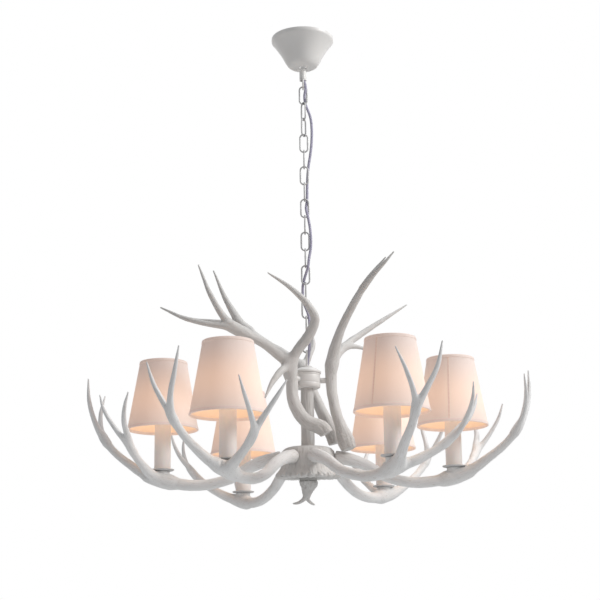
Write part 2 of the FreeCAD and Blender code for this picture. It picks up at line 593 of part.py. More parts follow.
# ---------------------------------------------------------------- lamps
# On every arm: drip plate, lamp holder with a flange, candle sleeve, bulb and shade.
drips = []
holders = []
sleeves = []
for name in ARMS:
    x, y, lift = lamp_centre(name)
    s0 = SEAT_H + lift
    d1 = s0 + DRIP_T
    top = d1 + CANDLE_H
    drips.append(
        turned([(0, s0), (DRIP_FOOT_R, s0), (DRIP_R - 1.5, s0 + 0.8), (DRIP_R, s0 + 2.2),
                (DRIP_R - 0.8, s0 + 3.4), (DRIP_R - 4, d1), (0, d1)], x, y)
    )
    sleeves.append(
        rod(CANDLE_R, d1, top, x, y).cut(rod(CANDLE_R - CANDLE_WALL, d1 - OVER, top + OVER, x, y))
    )
    post = rod(POST_R, d1, top - HOLDER_H, x, y)
    barrel = rod(HOLDER_R, top - HOLDER_H, top, x, y)
    gallery = rod(FLANGE_R, top, top + FLANGE_T, x, y)
    spigot_h = top + FLANGE_T + SPIGOT_H
    raised = rod(SPIGOT_R, top + FLANGE_T, spigot_h, x, y)
    holder = fused([post, barrel, gallery, raised])
    holders.append(holder.cut(rod(HOLDER_BORE_R, top - BULB_CAP_L - 3, spigot_h + OVER, x, y)))

    neck = spigot_h + GAP
    bulb = turned(
        [(0, neck - BULB_CAP_L - 1), (3.0, neck - BULB_CAP_L - 1), (BULB_CAP_R, neck - BULB_CAP_L + 2),
         (BULB_CAP_R, neck), (BULB_NECK_R, neck + 1), (BULB_NECK_R + 1.4, neck + 8),
         (BULB_R, neck + 0.32 * BULB_L), (BULB_R, neck + 0.42 * BULB_L),
         (BULB_R * 0.86, neck + 0.60 * BULB_L), (BULB_R * 0.5, neck + 0.82 * BULB_L),
         (2.0, neck + BULB_L), (0, neck + BULB_L)], x, y
    )
    keep("bulb_" + name, bulb)

    foot = lift
    head = lift + SHADE_H
    lean = (SHADE_FOOT_R - SHADE_TOP_R) / SHADE_H
    outside = [
        (SHADE_FOOT_R + HEM_T, foot), (SHADE_FOOT_R + HEM_T - lean * HEM_H, foot + HEM_H),
        (SHADE_FOOT_R - lean * HEM_H, foot + HEM_H), (SHADE_TOP_R + lean * HEM_H, head - HEM_H),
        (SHADE_TOP_R + lean * HEM_H + HEM_T, head - HEM_H), (SHADE_TOP_R + HEM_T, head),
    ]
    inside = [(SHADE_TOP_R - SHADE_WALL, head), (SHADE_FOOT_R - SHADE_WALL, foot)]
    keep("shade_" + name, turned(outside + inside, x, y))

    seat_h = top + FLANGE_T
    hoop_h = head - HEM_H
    inner = SHADE_TOP_R + lean * HEM_H - SHADE_WALL
    hoop_r = inner - GAP - SPOKE_R
    washer_r = SPIGOT_R + GAP + CARRIER_W
    washer = rod(washer_r, seat_h, seat_h + CARRIER_T, x, y)
    washer = washer.cut(rod(SPIGOT_R + GAP, seat_h - OVER, seat_h + CARRIER_T + OVER, x, y))
    hoop = Part.makeTorus(hoop_r, SPOKE_R, V(x, y, up(hoop_h)), UP)
    wires = [washer, hoop]
    for k in range(SPOKES):
        a = math.radians(ARMS[name][0] + 60 + 360.0 * k / SPOKES)
        root_r = washer_r - SPOKE_R - GAP
        low = V(x + root_r * math.cos(a), y + root_r * math.sin(a), up(seat_h + SPOKE_R))
        high = V(x + hoop_r * math.cos(a), y + hoop_r * math.sin(a), up(hoop_h))
        wires.append(Part.makeCylinder(SPOKE_R, (high - low).Length, low, high - low))
    keep("carrier_" + name, fused(wires))
keep("drip_plates", Part.makeCompound(drips))
keep("lamp_holders", Part.makeCompound(holders))
keep("candle_sleeves", Part.makeCompound(sleeves))

# ---------------------------------------------------------------- supply cord
# Cloth-covered flex: down the nipple, out through the top loop, woven four times through
# the chain, and in again through the lower eye to the hub.  Points are x, y, height.
ROUTE = (
    (0.0, 0.0, 833), (0.3, 0.1, 808), (-0.3, -0.1, 782), (0.2, -0.2, 762), (0.6, -0.9, 745),
    (5.0, -6.0, 732), (5.5, -6.2, 722), (1.8, 0.2, 708), (5.0, 6.4, 690), (15.5, 5.5, 664),
    (17.5, 4.0, 630), (15.0, 4.0, 590), (8.0, 5.6, 552), (5.6, 6.2, 514), (5.4, 6.2, 480),
    (1.8, -0.2, 463), (6.4, -6.4, 444), (11.5, -5.6, 412), (12.0, -5.4, 378), (6.6, -6.2, 352),
    (5.8, -6.2, 337), (-5.8, 6.2, 307), (-6.4, 6.4, 286), (-5.9, 6.2, 267), (5.9, -6.2, 236),
    (6.6, -6.4, 212), (5.8, -6.2, 184), (5.0, -5.4, 158), (0.2, 0.2, 136), (0.1, -0.2, 118),
    (0.6, 0.6, 92), (-0.6, 0.2, 60), (0.6, -0.4, 26), (-0.6, 0.3, -8), (0.5, 0.3, -42), (0, -0.2, -70),
)


def cord(points, r):
    """Round flex: straight runs joined by tangent arcs, with its length and tightest arc."""
    corners = [V(x, y, up(h)) for x, y, h in points]
    edges = []
    radii = []
    start = corners[0]
    for i in range(1, len(corners) - 1):
        back = corners[i - 1] - corners[i]
        ahead = corners[i + 1] - corners[i]
        take = ARC_SHARE * min(back.Length, ahead.Length)
        back.normalize()
        ahead.normalize()
        half_turn = (math.pi - back.getAngle(ahead)) / 2
        radius = take / math.tan(half_turn)
        radii.append(radius)
        bisector = (back + ahead).normalize()
        middle = corners[i] + bisector * (radius / math.cos(half_turn) - radius)
        enter = corners[i] + back * take
        leave = corners[i] + ahead * take
        edges.append(Part.LineSegment(start, enter).toShape())
        edges.append(Part.Arc(enter, middle, leave).toShape())
        start = leave
    edges.append(Part.LineSegment(start, corners[-1]).toShape())
    path = Part.Wire(edges)
    section, _ = ring_at(corners[0], corners[1] - corners[0], V(1, 0, 0), r)
    return path.makePipeShell([section], True, False), path.Length, min(radii)


flex, flex_length, tightest = cord(ROUTE, CORD_R)
keep("supply_cord", flex)
print("cord length %.1f, tightest arc %.1f" % (flex_length, tightest))
print("cord volume over section x length %.4f" % (flex.Volume / (math.pi * CORD_R ** 2 * flex_length)))

SEVERAL = {"crown_standoffs": len(CROWN), "drip_plates": len(ARMS), "lamp_holders": len(ARMS),
           "candle_sleeves": len(ARMS)}
for name, shape in PARTS.items():
    if shape.ShapeType == "Compound" and len(shape.Solids) == 1:
        shape = shape.Solids[0]
    if not shape.isValid() or len(shape.Solids) != SEVERAL.get(name, 1):
        print("check", name, shape.isValid(), len(shape.Solids))
    shape.exportStep("parts/%s.step" % name)
print(len(PARTS), "nodes")
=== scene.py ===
import math

import bmesh
import bpy
import numpy as np
from mathutils import Matrix, Vector, noise


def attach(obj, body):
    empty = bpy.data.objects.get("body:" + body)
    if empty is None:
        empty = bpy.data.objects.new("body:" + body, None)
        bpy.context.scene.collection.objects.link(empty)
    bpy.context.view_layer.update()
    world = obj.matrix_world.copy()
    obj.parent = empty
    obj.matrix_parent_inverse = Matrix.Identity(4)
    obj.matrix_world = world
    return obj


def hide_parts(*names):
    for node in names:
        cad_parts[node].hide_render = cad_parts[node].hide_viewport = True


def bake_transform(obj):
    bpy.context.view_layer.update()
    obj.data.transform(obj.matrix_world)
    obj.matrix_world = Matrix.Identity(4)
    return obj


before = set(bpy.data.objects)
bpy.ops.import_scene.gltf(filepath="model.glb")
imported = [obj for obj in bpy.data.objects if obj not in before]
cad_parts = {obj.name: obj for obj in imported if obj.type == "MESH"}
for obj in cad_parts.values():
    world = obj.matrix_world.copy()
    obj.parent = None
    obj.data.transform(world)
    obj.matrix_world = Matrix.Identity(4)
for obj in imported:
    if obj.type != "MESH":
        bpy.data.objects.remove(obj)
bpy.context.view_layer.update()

# ------------------------------------------------------------ camera and studio
# The chandelier hangs from a ceiling well above the camera, which looks up at it from the
# front with a slight lean.  White surroundings, one large soft lamp at the upper right, a
# weaker one overhead and a faint one at the left.
LENS = 84.33
CAMERA_AT = (-0.012, -2.7519, -1.2488)
LOOK_UP = 13.909
CAMERA_LEAN = -0.716
LAMPS_AIM = (0, 0, -0.75)
FLOOR_Z = -2.3

scene = bpy.context.scene
lens = bpy.data.cameras.new("camera")
lens.sensor_width = 36.0
lens.lens = LENS
camera = bpy.data.objects.new("camera", lens)
scene.collection.objects.link(camera)
tilt = Matrix.Rotation(math.radians(90 + LOOK_UP), 3, "X")
lean = Matrix.Rotation(math.radians(CAMERA_LEAN), 3, "Z")
camera.location = CAMERA_AT
camera.rotation_euler = (tilt @ lean).to_euler()
scene.camera = camera
scene.view_settings.view_transform = "Standard"


class Value:
    """One number, colour or direction in a finish, so that shader sums read as arithmetic."""

    def __init__(self, maker, socket):
        self.maker = maker
        self.socket = socket

    def worked(self, operation, first, second=0.0):
        return self.maker.add("ShaderNodeMath", {"operation": operation}, {0: first, 1: second})

    def __add__(self, other):
        return self.worked("ADD", self, other)

    def __radd__(self, other):
        return self.worked("ADD", other, self)

    def __sub__(self, other):
        return self.worked("SUBTRACT", self, other)

    def __rsub__(self, other):
        return self.worked("SUBTRACT", other, self)

    def __mul__(self, other):
        return self.worked("MULTIPLY", self, other)

    def __rmul__(self, other):
        return self.worked("MULTIPLY", other, self)

    def __truediv__(self, other):
        return self.worked("DIVIDE", self, other)

    def __rtruediv__(self, other):
        return self.worked("DIVIDE", other, self)

    def __abs__(self):
        return self.worked("ABSOLUTE", self)

    def wave(self):
        return self.worked("SINE", self)

    def larger(self, other):
        return self.worked("MAXIMUM", self, other)

    def angle(self, other):
        """The angle at which the direction (other, self) lies."""
        return self.worked("ARCTAN2", self, other)

    def between(self, low, high):
        """0 below low, 1 above high, and a smooth rise between them."""
        return self.maker.add(
            "ShaderNodeMapRange", {"interpolation_type": "SMOOTHSTEP"}, {0: self, 1: low, 2: high}
        )


class Nodes:
    """A node tree, made node by node."""

    def __init__(self, tree):
        self.tree = tree

    def add(self, kind, settings=None, values=None, out=0):
        """Any node: its settings first, then the values or links of its sockets."""
        made = self.tree.nodes.new(kind)
        for key, value in (settings or {}).items():
            setattr(made, key, value)
        for key, value in (values or {}).items():
            self.feed(made.inputs[key], value)
        return Value(self, made.outputs[out])

    def feed(self, socket, value):
        if isinstance(value, Value):
            self.tree.links.new(value.socket, socket)
        else:
            socket.default_value = value


class Finish(Nodes):
    """A procedural material round one Principled shader."""

    def __init__(self, name, **fixed):
        self.material = bpy.data.materials.new(name)
        self.material.use_nodes = True
        super().__init__(self.material.node_tree)
        self.shader = self.tree.nodes["Principled BSDF"]
        for socket, value in fixed.items():
            self.shader.inputs[socket.replace("_", " ")].default_value = value

    def varies(self, socket, value):
        self.feed(self.shader.inputs[socket], value)

    def own(self, attribute, out="Vector"):
        return self.add("ShaderNodeAttribute", {"attribute_name": attribute}, out=out)

    def place(self):
        return self.add("ShaderNodeTexCoord", out="Object")

    def stretched(self, scale):
        """The place, with each axis scaled by its own amount."""
        return self.add("ShaderNodeVectorMath", {"operation": "MULTIPLY"}, {0: self.place(), 1: scale})

    def axis(self, vector, letter):
        """One axis of a vector."""
        return self.add("ShaderNodeSeparateXYZ", values={0: vector}, out=letter)

    def speckle(self, where, scale, detail=3.0, rough=0.55):
        """Cloudy noise from 0 to 1."""
        values = {"Vector": where, "Scale": scale, "Detail": detail, "Roughness": rough}
        return self.add("ShaderNodeTexNoise", values=values)

    def blend(self, share, first, second):
        """From the first colour to the second as share goes from 0 to 1."""
        return self.add("ShaderNodeMix", {"data_type": "RGBA"}, {0: share, 6: first, 7: second}, out=2)

    def relief(self, height, depth, onto=None):
        """Surface relief, depth in metres for a height of 1."""
        values = {"Height": height, "Distance": depth, "Strength": 1.0}
        if onto is not None:
            values["Normal"] = onto
        return self.add("ShaderNodeBump", values=values)


def grey(level, warm=0.0):
    """A near-white paint colour, a little warmer or cooler than neutral."""
    return (level * (1 + warm), level, level * (1 - 1.4 * warm), 1.0)


def mesh_of(bm, name):
    """A mesh of the faces built so far, which ends their building."""
    mesh = bpy.data.meshes.new(name)
    bm.to_mesh(mesh)
    bm.free()
    return mesh


world = bpy.data.worlds.new("studio")
scene.world = world
world.use_nodes = True
sky = Nodes(world.node_tree)
sky.tree.nodes.remove(sky.tree.nodes["Background"])
camera_ray, glossy_ray, clear_ray = (
    sky.add("ShaderNodeLightPath", out="Is %s Ray" % kind) for kind in ("Camera", "Glossy", "Transmission")
)
shown = camera_ray.larger(glossy_ray).larger(clear_ray)
white = sky.add("ShaderNodeBackground", values={"Color": (1, 1, 1, 1)})
soft = sky.add("ShaderNodeBackground", values={"Color": (0.95, 0.97, 1.0, 1), "Strength": 0.21})
either = sky.add("ShaderNodeMixShader", values={0: shown, 1: soft, 2: white})
sky.feed(sky.tree.nodes["World Output"].inputs["Surface"], either)

for name, place, size, power, tone in (
    ("key", (2.8, -0.9, 1.1), 1.3, 76.0, (1.0, 0.99, 0.975)),
    ("overhead", (0.6, 0.1, 1.6), 1.8, 24.0, (0.97, 0.985, 1.0)),
    ("left", (-2.6, -1.6, 0.2), 1.4, 5.0, (0.94, 0.97, 1.0)),
):
    lamp = bpy.data.lights.new(name, "AREA")
    lamp.size = size
    lamp.energy = power
    lamp.color = tone
    stand = bpy.data.objects.new(name, lamp)
    stand.location = place
    stand.rotation_euler = (Vector(place) - Vector(LAMPS_AIM)).to_track_quat("Z", "Y").to_euler()
    scene.collection.objects.link(stand)

floor_paint = Finish("floor_paint", Roughness=0.8, Emission_Color=(1, 1, 1, 1), Emission_Strength=0.2)
floor_cloud = floor_paint.speckle(floor_paint.place(), 1.5)
floor_paint.varies("Base Color", floor_paint.blend(floor_cloud, grey(0.80), grey(0.83)))
floor_grid = bmesh.new()
bmesh.ops.create_grid(
    floor_grid, x_segments=2, y_segments=2, size=14.0, matrix=Matrix.Translation((0, 0, FLOOR_Z))
)
floor_mesh = mesh_of(floor_grid, "floor")
floor_mesh.materials.append(floor_paint.material)
floor = bpy.data.objects.new("floor", floor_mesh)
scene.collection.objects.link(floor)

# The shades' lower edges lie this many millimetres below the ceiling.  Heights are measured
# from them.
HANG = 837.0


def spot(x, y, h):
    """A point in the frame from a place and a height in millimetres."""
    return Vector((x, y, h - HANG)) / 1000


def crisp(bm, angle=0.47):
    """Smooth shading that stays sharp where two faces meet at more than the angle."""
    for face in bm.faces:
        face.smooth = True
    for edge in bm.edges:
        edge.smooth = edge.calc_face_angle(0.0) < angle


def placed(name, mesh, finish, body, node):
    """A mesh as an object that rides on a body, if one is named, and stands for its CAD node."""
    mesh.materials.clear()
    mesh.materials.append(finish.material)
    thing = bpy.data.objects.new(name, mesh)
    scene.collection.objects.link(thing)
    if body:
        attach(thing, body)
    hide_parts(node)
    return thing


def piece(name, bm, finish, body, node):
    """The same, from faces built so far."""
    return placed(name, mesh_of(bm, name), finish, body, node)


# ------------------------------------------------------------ supply cord
# Cloth-covered flex, 5.5 mm across: down the threaded nipple, out through the top loop, woven
# through the chain and in at the lower eye to the hub.  Its line is cut at the middle of each
# link, one stretch for each joint of the chain.
CORD_ROUTE = (
    (0.0, 0.0, 833), (0.3, 0.1, 808), (-0.3, -0.1, 782), (0.2, -0.2, 762), (0.6, -0.9, 745),
    (5.0, -6.0, 732), (5.5, -6.2, 722), (1.8, 0.2, 708), (5.0, 6.4, 690), (15.5, 5.5, 664),
    (17.5, 4.0, 630), (15.0, 4.0, 590), (8.0, 5.6, 552), (5.6, 6.2, 514), (5.4, 6.2, 480),
    (1.8, -0.2, 463), (6.4, -6.4, 444), (11.5, -5.6, 412), (12.0, -5.4, 378), (6.6, -6.2, 352),
    (5.8, -6.2, 337), (-5.8, 6.2, 307), (-6.4, 6.4, 286), (-5.9, 6.2, 267), (5.9, -6.2, 236),
    (6.6, -6.4, 212), (5.8, -6.2, 184), (5.0, -5.4, 158), (0.2, 0.2, 136), (0.1, -0.2, 118),
    (0.6, 0.6, 92), (-0.6, 0.2, 60), (0.6, -0.4, 26), (-0.6, 0.3, -8), (0.5, 0.3, -42), (0, -0.2, -70),
)
CORD_R = 2.75
LINKS = 16
PITCH = 35.3
FIRST_LINK = 729.5
LINK_RISE = 38.8
LOOP_RIDE = 3.7

flex = Finish("cord_cloth", Roughness=0.85, Sheen_Weight=0.25, Sheen_Roughness=0.5)
laid = flex.own("weave")
round_cord = flex.axis(laid, "Y").angle(flex.axis(laid, "X"))
along_cord = flex.axis(laid, "Z")
right_lay = (round_cord * 6 + along_cord * 2.6).wave()
left_lay = (round_cord * 6 - along_cord * 2.6).wave()
braid = right_lay.larger(left_lay)
thread = flex.speckle(laid, 3.0)
pale = braid.between(-0.3, 0.9) * 0.6 + thread * 0.3
flex.varies("Base Color", flex.blend(pale, (0.36, 0.34, 0.48, 1), (0.70, 0.68, 0.84, 1)))
flex.varies("Normal", flex.relief(braid + thread * 0.3, 0.0004))

line = bpy.data.curves.new("cord_line", "CURVE")
line.dimensions = "3D"
line.resolution_u = 12
spline = line.splines.new("NURBS")
spline.points.add(len(CORD_ROUTE) - 1)
for point, (x, y, h) in zip(spline.points, CORD_ROUTE):
    point.co = (*spot(x, y, h), 1)
spline.order_u = 3
spline.use_endpoint_u = True
line_object = bpy.data.objects.new("cord_line", line)
line_mesh = bpy.data.meshes.new_from_object(line_object)
cord_points = [v.co.copy() for v in line_mesh.vertices]
bpy.data.objects.remove(line_object)
bpy.data.meshes.remove(line_mesh)


def tube(points, r, sides=16):
    """A round tube along the points, its ends closed, with each point's place round and along it."""
    bm = bmesh.new()
    weave = bm.verts.layers.float_vector.new("weave")
    turn = (points[1] - points[0]).to_track_quat("Z", "X")
    start = Matrix.Translation(points[0]) @ turn.to_matrix().to_4x4()
    ring = bmesh.ops.create_circle(bm, cap_ends=False, segments=sides, radius=r, matrix=start)["verts"]
    edges = list({edge for vert in ring for edge in vert.link_edges})
    bmesh.ops.contextual_create(bm, geom=edges)
    for k, vert in enumerate(ring):
        vert[weave] = (math.cos(k * math.tau / sides), math.sin(k * math.tau / sides), points[0].z * 1000)
    facing = (points[1] - points[0]).normalized()
    for i in range(1, len(points)):
        ahead = (points[min(i + 1, len(points) - 1)] - points[i - 1]).normalized()
        grown = bmesh.ops.extrude_edge_only(bm, edges=edges)["geom"]
        fresh = [g for g in grown if isinstance(g, bmesh.types.BMVert)]
        edges = [g for g in grown if isinstance(g, bmesh.types.BMEdge)]
        bmesh.ops.translate(bm, verts=fresh, vec=points[i] - points[i - 1])
        bmesh.ops.rotate(
            bm, verts=fresh, cent=points[i], matrix=facing.rotation_difference(ahead).to_matrix()
        )
        facing = ahead
        for vert in fresh:
            vert[weave] = (vert[weave].x, vert[weave].y, points[i].z * 1000)
    bmesh.ops.contextual_create(bm, geom=edges)
    bmesh.ops.recalc_face_normals(bm, faces=bm.faces)
    crisp(bm)
    return bm


joint_heights = [FIRST_LINK - LOOP_RIDE]
joint_heights += [FIRST_LINK - LINK_RISE - k * PITCH for k in range(LINKS)]
cuts = [(a + b) / 2 for a, b in zip(joint_heights, joint_heights[1:])]
bounds_h = [900.0] + cuts + [-200.0]
cut_points = []
for a, b in zip(cord_points, cord_points[1:]):
    cut_points.append(a)
    for h in cuts:
        z = spot(0, 0, h).z
        if a.z > z >= b.z and a.z - z > 1e-6:
            cut_points.append(a.lerp(b, (a.z - z) / (a.z - b.z)))
cut_points.append(cord_points[-1])
for k, joint_h in enumerate(joint_heights):
    top = spot(0, 0, bounds_h[k]).z
    low = spot(0, 0, bounds_h[k + 1]).z
    part = [p for p in cut_points if top + 1e-6 >= p.z >= low - 1e-6]
    run = sum((b - a).length for a, b in zip(part, part[1:]))
    stretch = piece("cord_%02d" % k, tube(part, CORD_R / 1000), flex, None, "supply_cord")
    spot(0, 0, joint_h + 9)
    spot(0, 0, joint_h - 9)
    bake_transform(stretch)

# ------------------------------------------------------------ ceiling fitting
# Zinc-plated strap, screwed to the ceiling box, with the threaded nipple welded in its middle.
plated = Finish("plated_steel", Metallic=1.0, Roughness=0.35)
cloud = plated.speckle(plated.place(), 60.0, 4.0)
brushed = plated.speckle(plated.stretched((900, 40, 900)), 1.0)
plated.varies("Base Color", plated.blend(cloud, (0.50, 0.51, 0.53, 1), (0.72, 0.73, 0.74, 1)))
plated.varies("Roughness", cloud * 0.25 + 0.25)
plated.varies("Normal", plated.relief(brushed, 0.00006))


def finished(node, finish):
    """Give a CAD node that stays as it is its real finish."""
    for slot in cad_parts[node].material_slots:
        slot.material = finish.material


finished("ceiling_strap", plated)

# ------------------------------------------------------------ canopy
# Spun steel bell in white enamel, its short upright rim against the ceiling.  The collar nut on
# the nipple holds it up, and the top loop hangs below.
enamel = Finish("white_enamel", Roughness=0.4, Coat_Weight=0.25, Coat_Roughness=0.25)
peel = enamel.speckle(enamel.place(), 420.0, 2.0)
tint = enamel.speckle(enamel.place(), 14.0, 3.0)
enamel.varies("Base Color", enamel.blend(tint, grey(0.80, 0.012), grey(0.72, 0.02)))
enamel.varies("Roughness", tint * 0.16 + 0.34)
enamel.varies("Normal", enamel.relief(peel, 0.00012))


def spun(corners, x=0.0, y=0.0, steps=96, soft=0.0, segments=3):
    """Turn an outline of (radius, height) corners about an upright axis and round its edges."""
    bm = bmesh.new()
    ring = [bm.verts.new(spot(x + r, y, h)) for r, h in corners]
    pairs = list(zip(ring, ring[1:]))
    if corners[0][0] > 0:
        pairs.append((ring[-1], ring[0]))
    edges = [bm.edges.new(pair) for pair in pairs]
    bmesh.ops.spin(
        bm, geom=ring + edges, cent=spot(x, y, 0), axis=(0, 0, 1), angle=math.tau, steps=steps, use_merge=True
    )
    bmesh.ops.remove_doubles(bm, verts=bm.verts, dist=1e-6)
    bmesh.ops.recalc_face_normals(bm, faces=bm.faces)
    if soft:
        hard = [edge for edge in bm.edges if edge.calc_face_angle(0.0) > 0.45]
        bmesh.ops.bevel(
            bm, geom=hard, offset=soft / 1000, offset_type="OFFSET", segments=segments, profile=0.5,
            affect="EDGES", clamp_overlap=True, material=-1,
        )
    crisp(bm)
    return bm


canopy_out = [
    (65.0, HANG), (65.0, 831.0), (64.2, 829.4), (60.8, 825.4), (56.2, 819.0), (51.4, 812.0),
    (46.2, 803.5), (41.6, 795.0), (38.0, 788.0), (34.4, 781.4), (30.6, 776.2), (26.4, 773.4), (20.0, 772.0),
]
canopy_in = [(r - 1.5 if r > 27 else r, h + (0.0 if r > 27 else 1.5)) for r, h in reversed(canopy_out)]
canopy_in[-1] = (63.5, HANG)
piece(
    "canopy_bell", spun(canopy_out + [(8.2, 772.0), (8.2, 773.5)] + canopy_in, steps=128), enamel,
    "ceiling_fitting", "canopy",
)
finished("collar_nut", enamel)
finished("top_loop", enamel)

# ------------------------------------------------------------ chain
# Sixteen welded oval links of 3.2 mm wire, each turned against the next.  Their paint has
# rubbed through to grey steel where they hang in one another.
WIRE_R = 1.6
LINK_R = 7.9
TURNS = [0, 120, 240, 0] + [90 * (k + 1) for k in range(LINKS - 4)]

chain_paint = Finish("chain_paint", Roughness=0.38)
rub = chain_paint.own("worn", "Fac")
fleck = chain_paint.speckle(chain_paint.place(), 500.0, 3.0)
bare = (rub + fleck * 0.5 - 0.25).between(0.35, 0.75)
chain_paint.varies("Base Color", chain_paint.blend(bare, grey(0.50, 0.0), (0.16, 0.16, 0.17, 1)))
chain_paint.varies("Metallic", bare * 0.7 + 0.25)
chain_paint.varies("Roughness", fleck * 0.2 + 0.26)
chain_paint.varies("Normal", chain_paint.relief(fleck, 0.00008))


def link_shape(top_h, turn):
    """One oval link: half a ring at the top, straight legs, and the same mirrored below."""
    a = math.radians(turn)
    across = Vector((math.cos(a), math.sin(a), 0))
    square = Vector((-math.sin(a), math.cos(a), 0))
    bow = spot(0, 0, top_h - LINK_R)
    middle = spot(0, 0, top_h - LINK_RISE / 2)
    bm = bmesh.new()
    bmesh.ops.create_circle(
        bm, cap_ends=False, segments=12, radius=WIRE_R / 1000,
        matrix=Matrix.Translation(bow + across * LINK_R / 1000),
    )
    bmesh.ops.spin(
        bm, geom=bm.verts[:] + bm.edges[:], cent=bow, axis=square, angle=-math.pi, steps=16, use_merge=False
    )
    open_edges = [edge for edge in bm.edges if edge.is_boundary]
    legs = bmesh.ops.extrude_edge_only(bm, edges=open_edges)["geom"]
    leg_verts = [g for g in legs if isinstance(g, bmesh.types.BMVert)]
    bmesh.ops.translate(bm, verts=leg_verts, vec=(0, 0, middle.z - bow.z))
    bmesh.ops.mirror(
        bm, geom=bm.verts[:] + bm.edges[:] + bm.faces[:], matrix=Matrix.Translation(-middle),
        merge_dist=1e-5, axis="Z",
    )
    bmesh.ops.remove_doubles(bm, verts=bm.verts, dist=1e-5)
    bmesh.ops.recalc_face_normals(bm, faces=bm.faces)
    worn = bm.verts.layers.float.new("worn")
    touching = [spot(0, 0, top_h - WIRE_R), spot(0, 0, top_h - LINK_RISE + WIRE_R)]
    for vert in bm.verts:
        side = (vert.co - middle).dot(across)
        if abs(vert.co.z - middle.z) < 0.0005 and side > 0:
            core = middle + across * LINK_R / 1000
            vert.co = core + (vert.co - core) * 1.14
        near = min((vert.co - point).length for point in touching) * 1000
        vert[worn] = max(0.0, 1.0 - near / 6.0)
    crisp(bm)
    return bm


for k in range(LINKS):
    name = "link_%02d" % (k + 1)
    piece(
        "chain_" + name, link_shape(FIRST_LINK - k * PITCH, TURNS[k]), chain_paint, name, name
    )

# ------------------------------------------------------------ lower eye, lid and cup
# A cast eye screwed down through the lid of a turned steel cup that carries the three crown
# antlers; all of it enamelled white, with a dark line where the lid meets the cup.
finished("lower_eye", enamel)
LID = [
    (4.8, 118.0), (27.6, 118.0), (28.0, 118.6), (28.0, 122.0), (26.4, 123.4), (20.0, 127.6), (13.0, 130.0),
    (4.8, 130.0),
]
BOWL = [
    (8.2, 88.0), (23.0, 88.0), (25.4, 89.6), (26.4, 93.0), (26.4, 97.4), (25.9, 97.9), (25.9, 98.9),
    (26.4, 99.4), (26.4, 112.6), (25.7, 113.2), (25.7, 114.4), (26.4, 115.0), (26.4, 117.2), (25.8, 117.8),
    (20.2, 117.8), (20.2, 96.0), (8.2, 96.0),
]
piece("lid", spun(LID, soft=0.5), enamel, "fixture", "cup_lid")
piece("bowl", spun(BOWL, soft=0.3, segments=2), enamel, "fixture", "cup")
finished("column_tube", plated)

# ------------------------------------------------------------ antler resin
# Cast resin painted a chalky white, with the grain running along each limb.  A greyer tone in
# streaks along the grain is painted shade for the hollows, and the butts are greyer as well.
SKIN = 1.35
SLACK = 1.4
FADE = 1.2
WEB_LIMIT = 1.5
BRANCH_START = 200.0
SEAT_CLEAR_R = 24.0
SEAT_CLEAR_H = 14.0
SEAT_SINK = 0.4


def painted_resin(name, light, shade, hollow_shade):
    """Chalky paint on resin in two near tones in clouds, with painted shade in streaks along the grain and a
    greyer butt.
    """
    made = Finish(name, Roughness=0.62)
    grain = made.own("grain")
    butt = made.own("butt", "Fac")
    streak = made.speckle(grain, 0.55, 4.0, 0.6)
    hair = made.speckle(grain, 2.4, 3.0, 0.65)
    cloudy = made.speckle(made.place(), 22.0, 3.0)
    pore = made.speckle(made.place(), 700.0, 2.0)
    # Greyer streaks along the grain are painted shade for the hollows; the butt term greys the butts.
    grain_shade_and_butt_grey = (streak * 0.7 + hair * 0.3).between(0.48, 0.30) * 0.6 + butt * (1 - streak) * 0.6
    made.varies("Base Color", made.blend(grain_shade_and_butt_grey, made.blend(cloudy, light, shade), hollow_shade))
    made.varies("Roughness", hair * 0.2 + 0.5)
    made.varies("Normal", made.relief(hair * 0.5 + pore * 0.15, 0.0003, made.relief(streak, 0.0009)))
    return made


resin = painted_resin("antler_resin", grey(0.86, -0.003), grey(0.77, 0.010), (0.47, 0.42, 0.38, 1))
# The crowns take a greyer copy of the same resin, which is painted shade.
crown_resin_shaded = painted_resin("crown_resin_shaded", grey(0.70, 0.012), grey(0.60, 0.022), (0.37, 0.33, 0.295, 1))


def smooth_run(points, pace=4.5):
    """A limb's centreline every few millimetres: places, radii, length along, two side directions."""
    p = np.array(points, float)
    h = np.linalg.norm(np.diff(p[:, :3], axis=0), axis=1)
    pull = np.empty_like(p)
    steps = np.diff(p, axis=0) / h[:, None]
    pull[0] = steps[0]
    pull[-1] = steps[-1]
    pull[1:-1] = (steps[:-1] * h[1:, None] + steps[1:] * h[:-1, None]) / (h[1:] + h[:-1])[:, None]
    bits = []
    for i, span in enumerate(h):
        t = np.linspace(0, 1, max(2, int(span / pace)) + 1)[:-1, None]
        bits.append(
            (2 * t ** 3 - 3 * t ** 2 + 1) * p[i] + (t ** 3 - 2 * t ** 2 + t) * span * pull[i]
            + (3 * t ** 2 - 2 * t ** 3) * p[i + 1] + (t ** 3 - t ** 2) * span * pull[i + 1]
        )
    run = np.vstack(bits + [p[-1:]])
    centre = run[:, :3]
    along = np.concatenate([[0], np.cumsum(np.linalg.norm(np.diff(centre, axis=0), axis=1))])
    ahead = np.gradient(centre, axis=0)
    ahead /= np.linalg.norm(ahead, axis=1)[:, None]
    side = np.zeros_like(centre)
    last = np.array((0.31, 0.17, 0.93))
    for i, way in enumerate(ahead):
        last = last - way * (last @ way)
        last /= np.linalg.norm(last)
        side[i] = last
    return centre, np.maximum(run[:, 3], 0.9), along, side, np.cross(ahead, side)


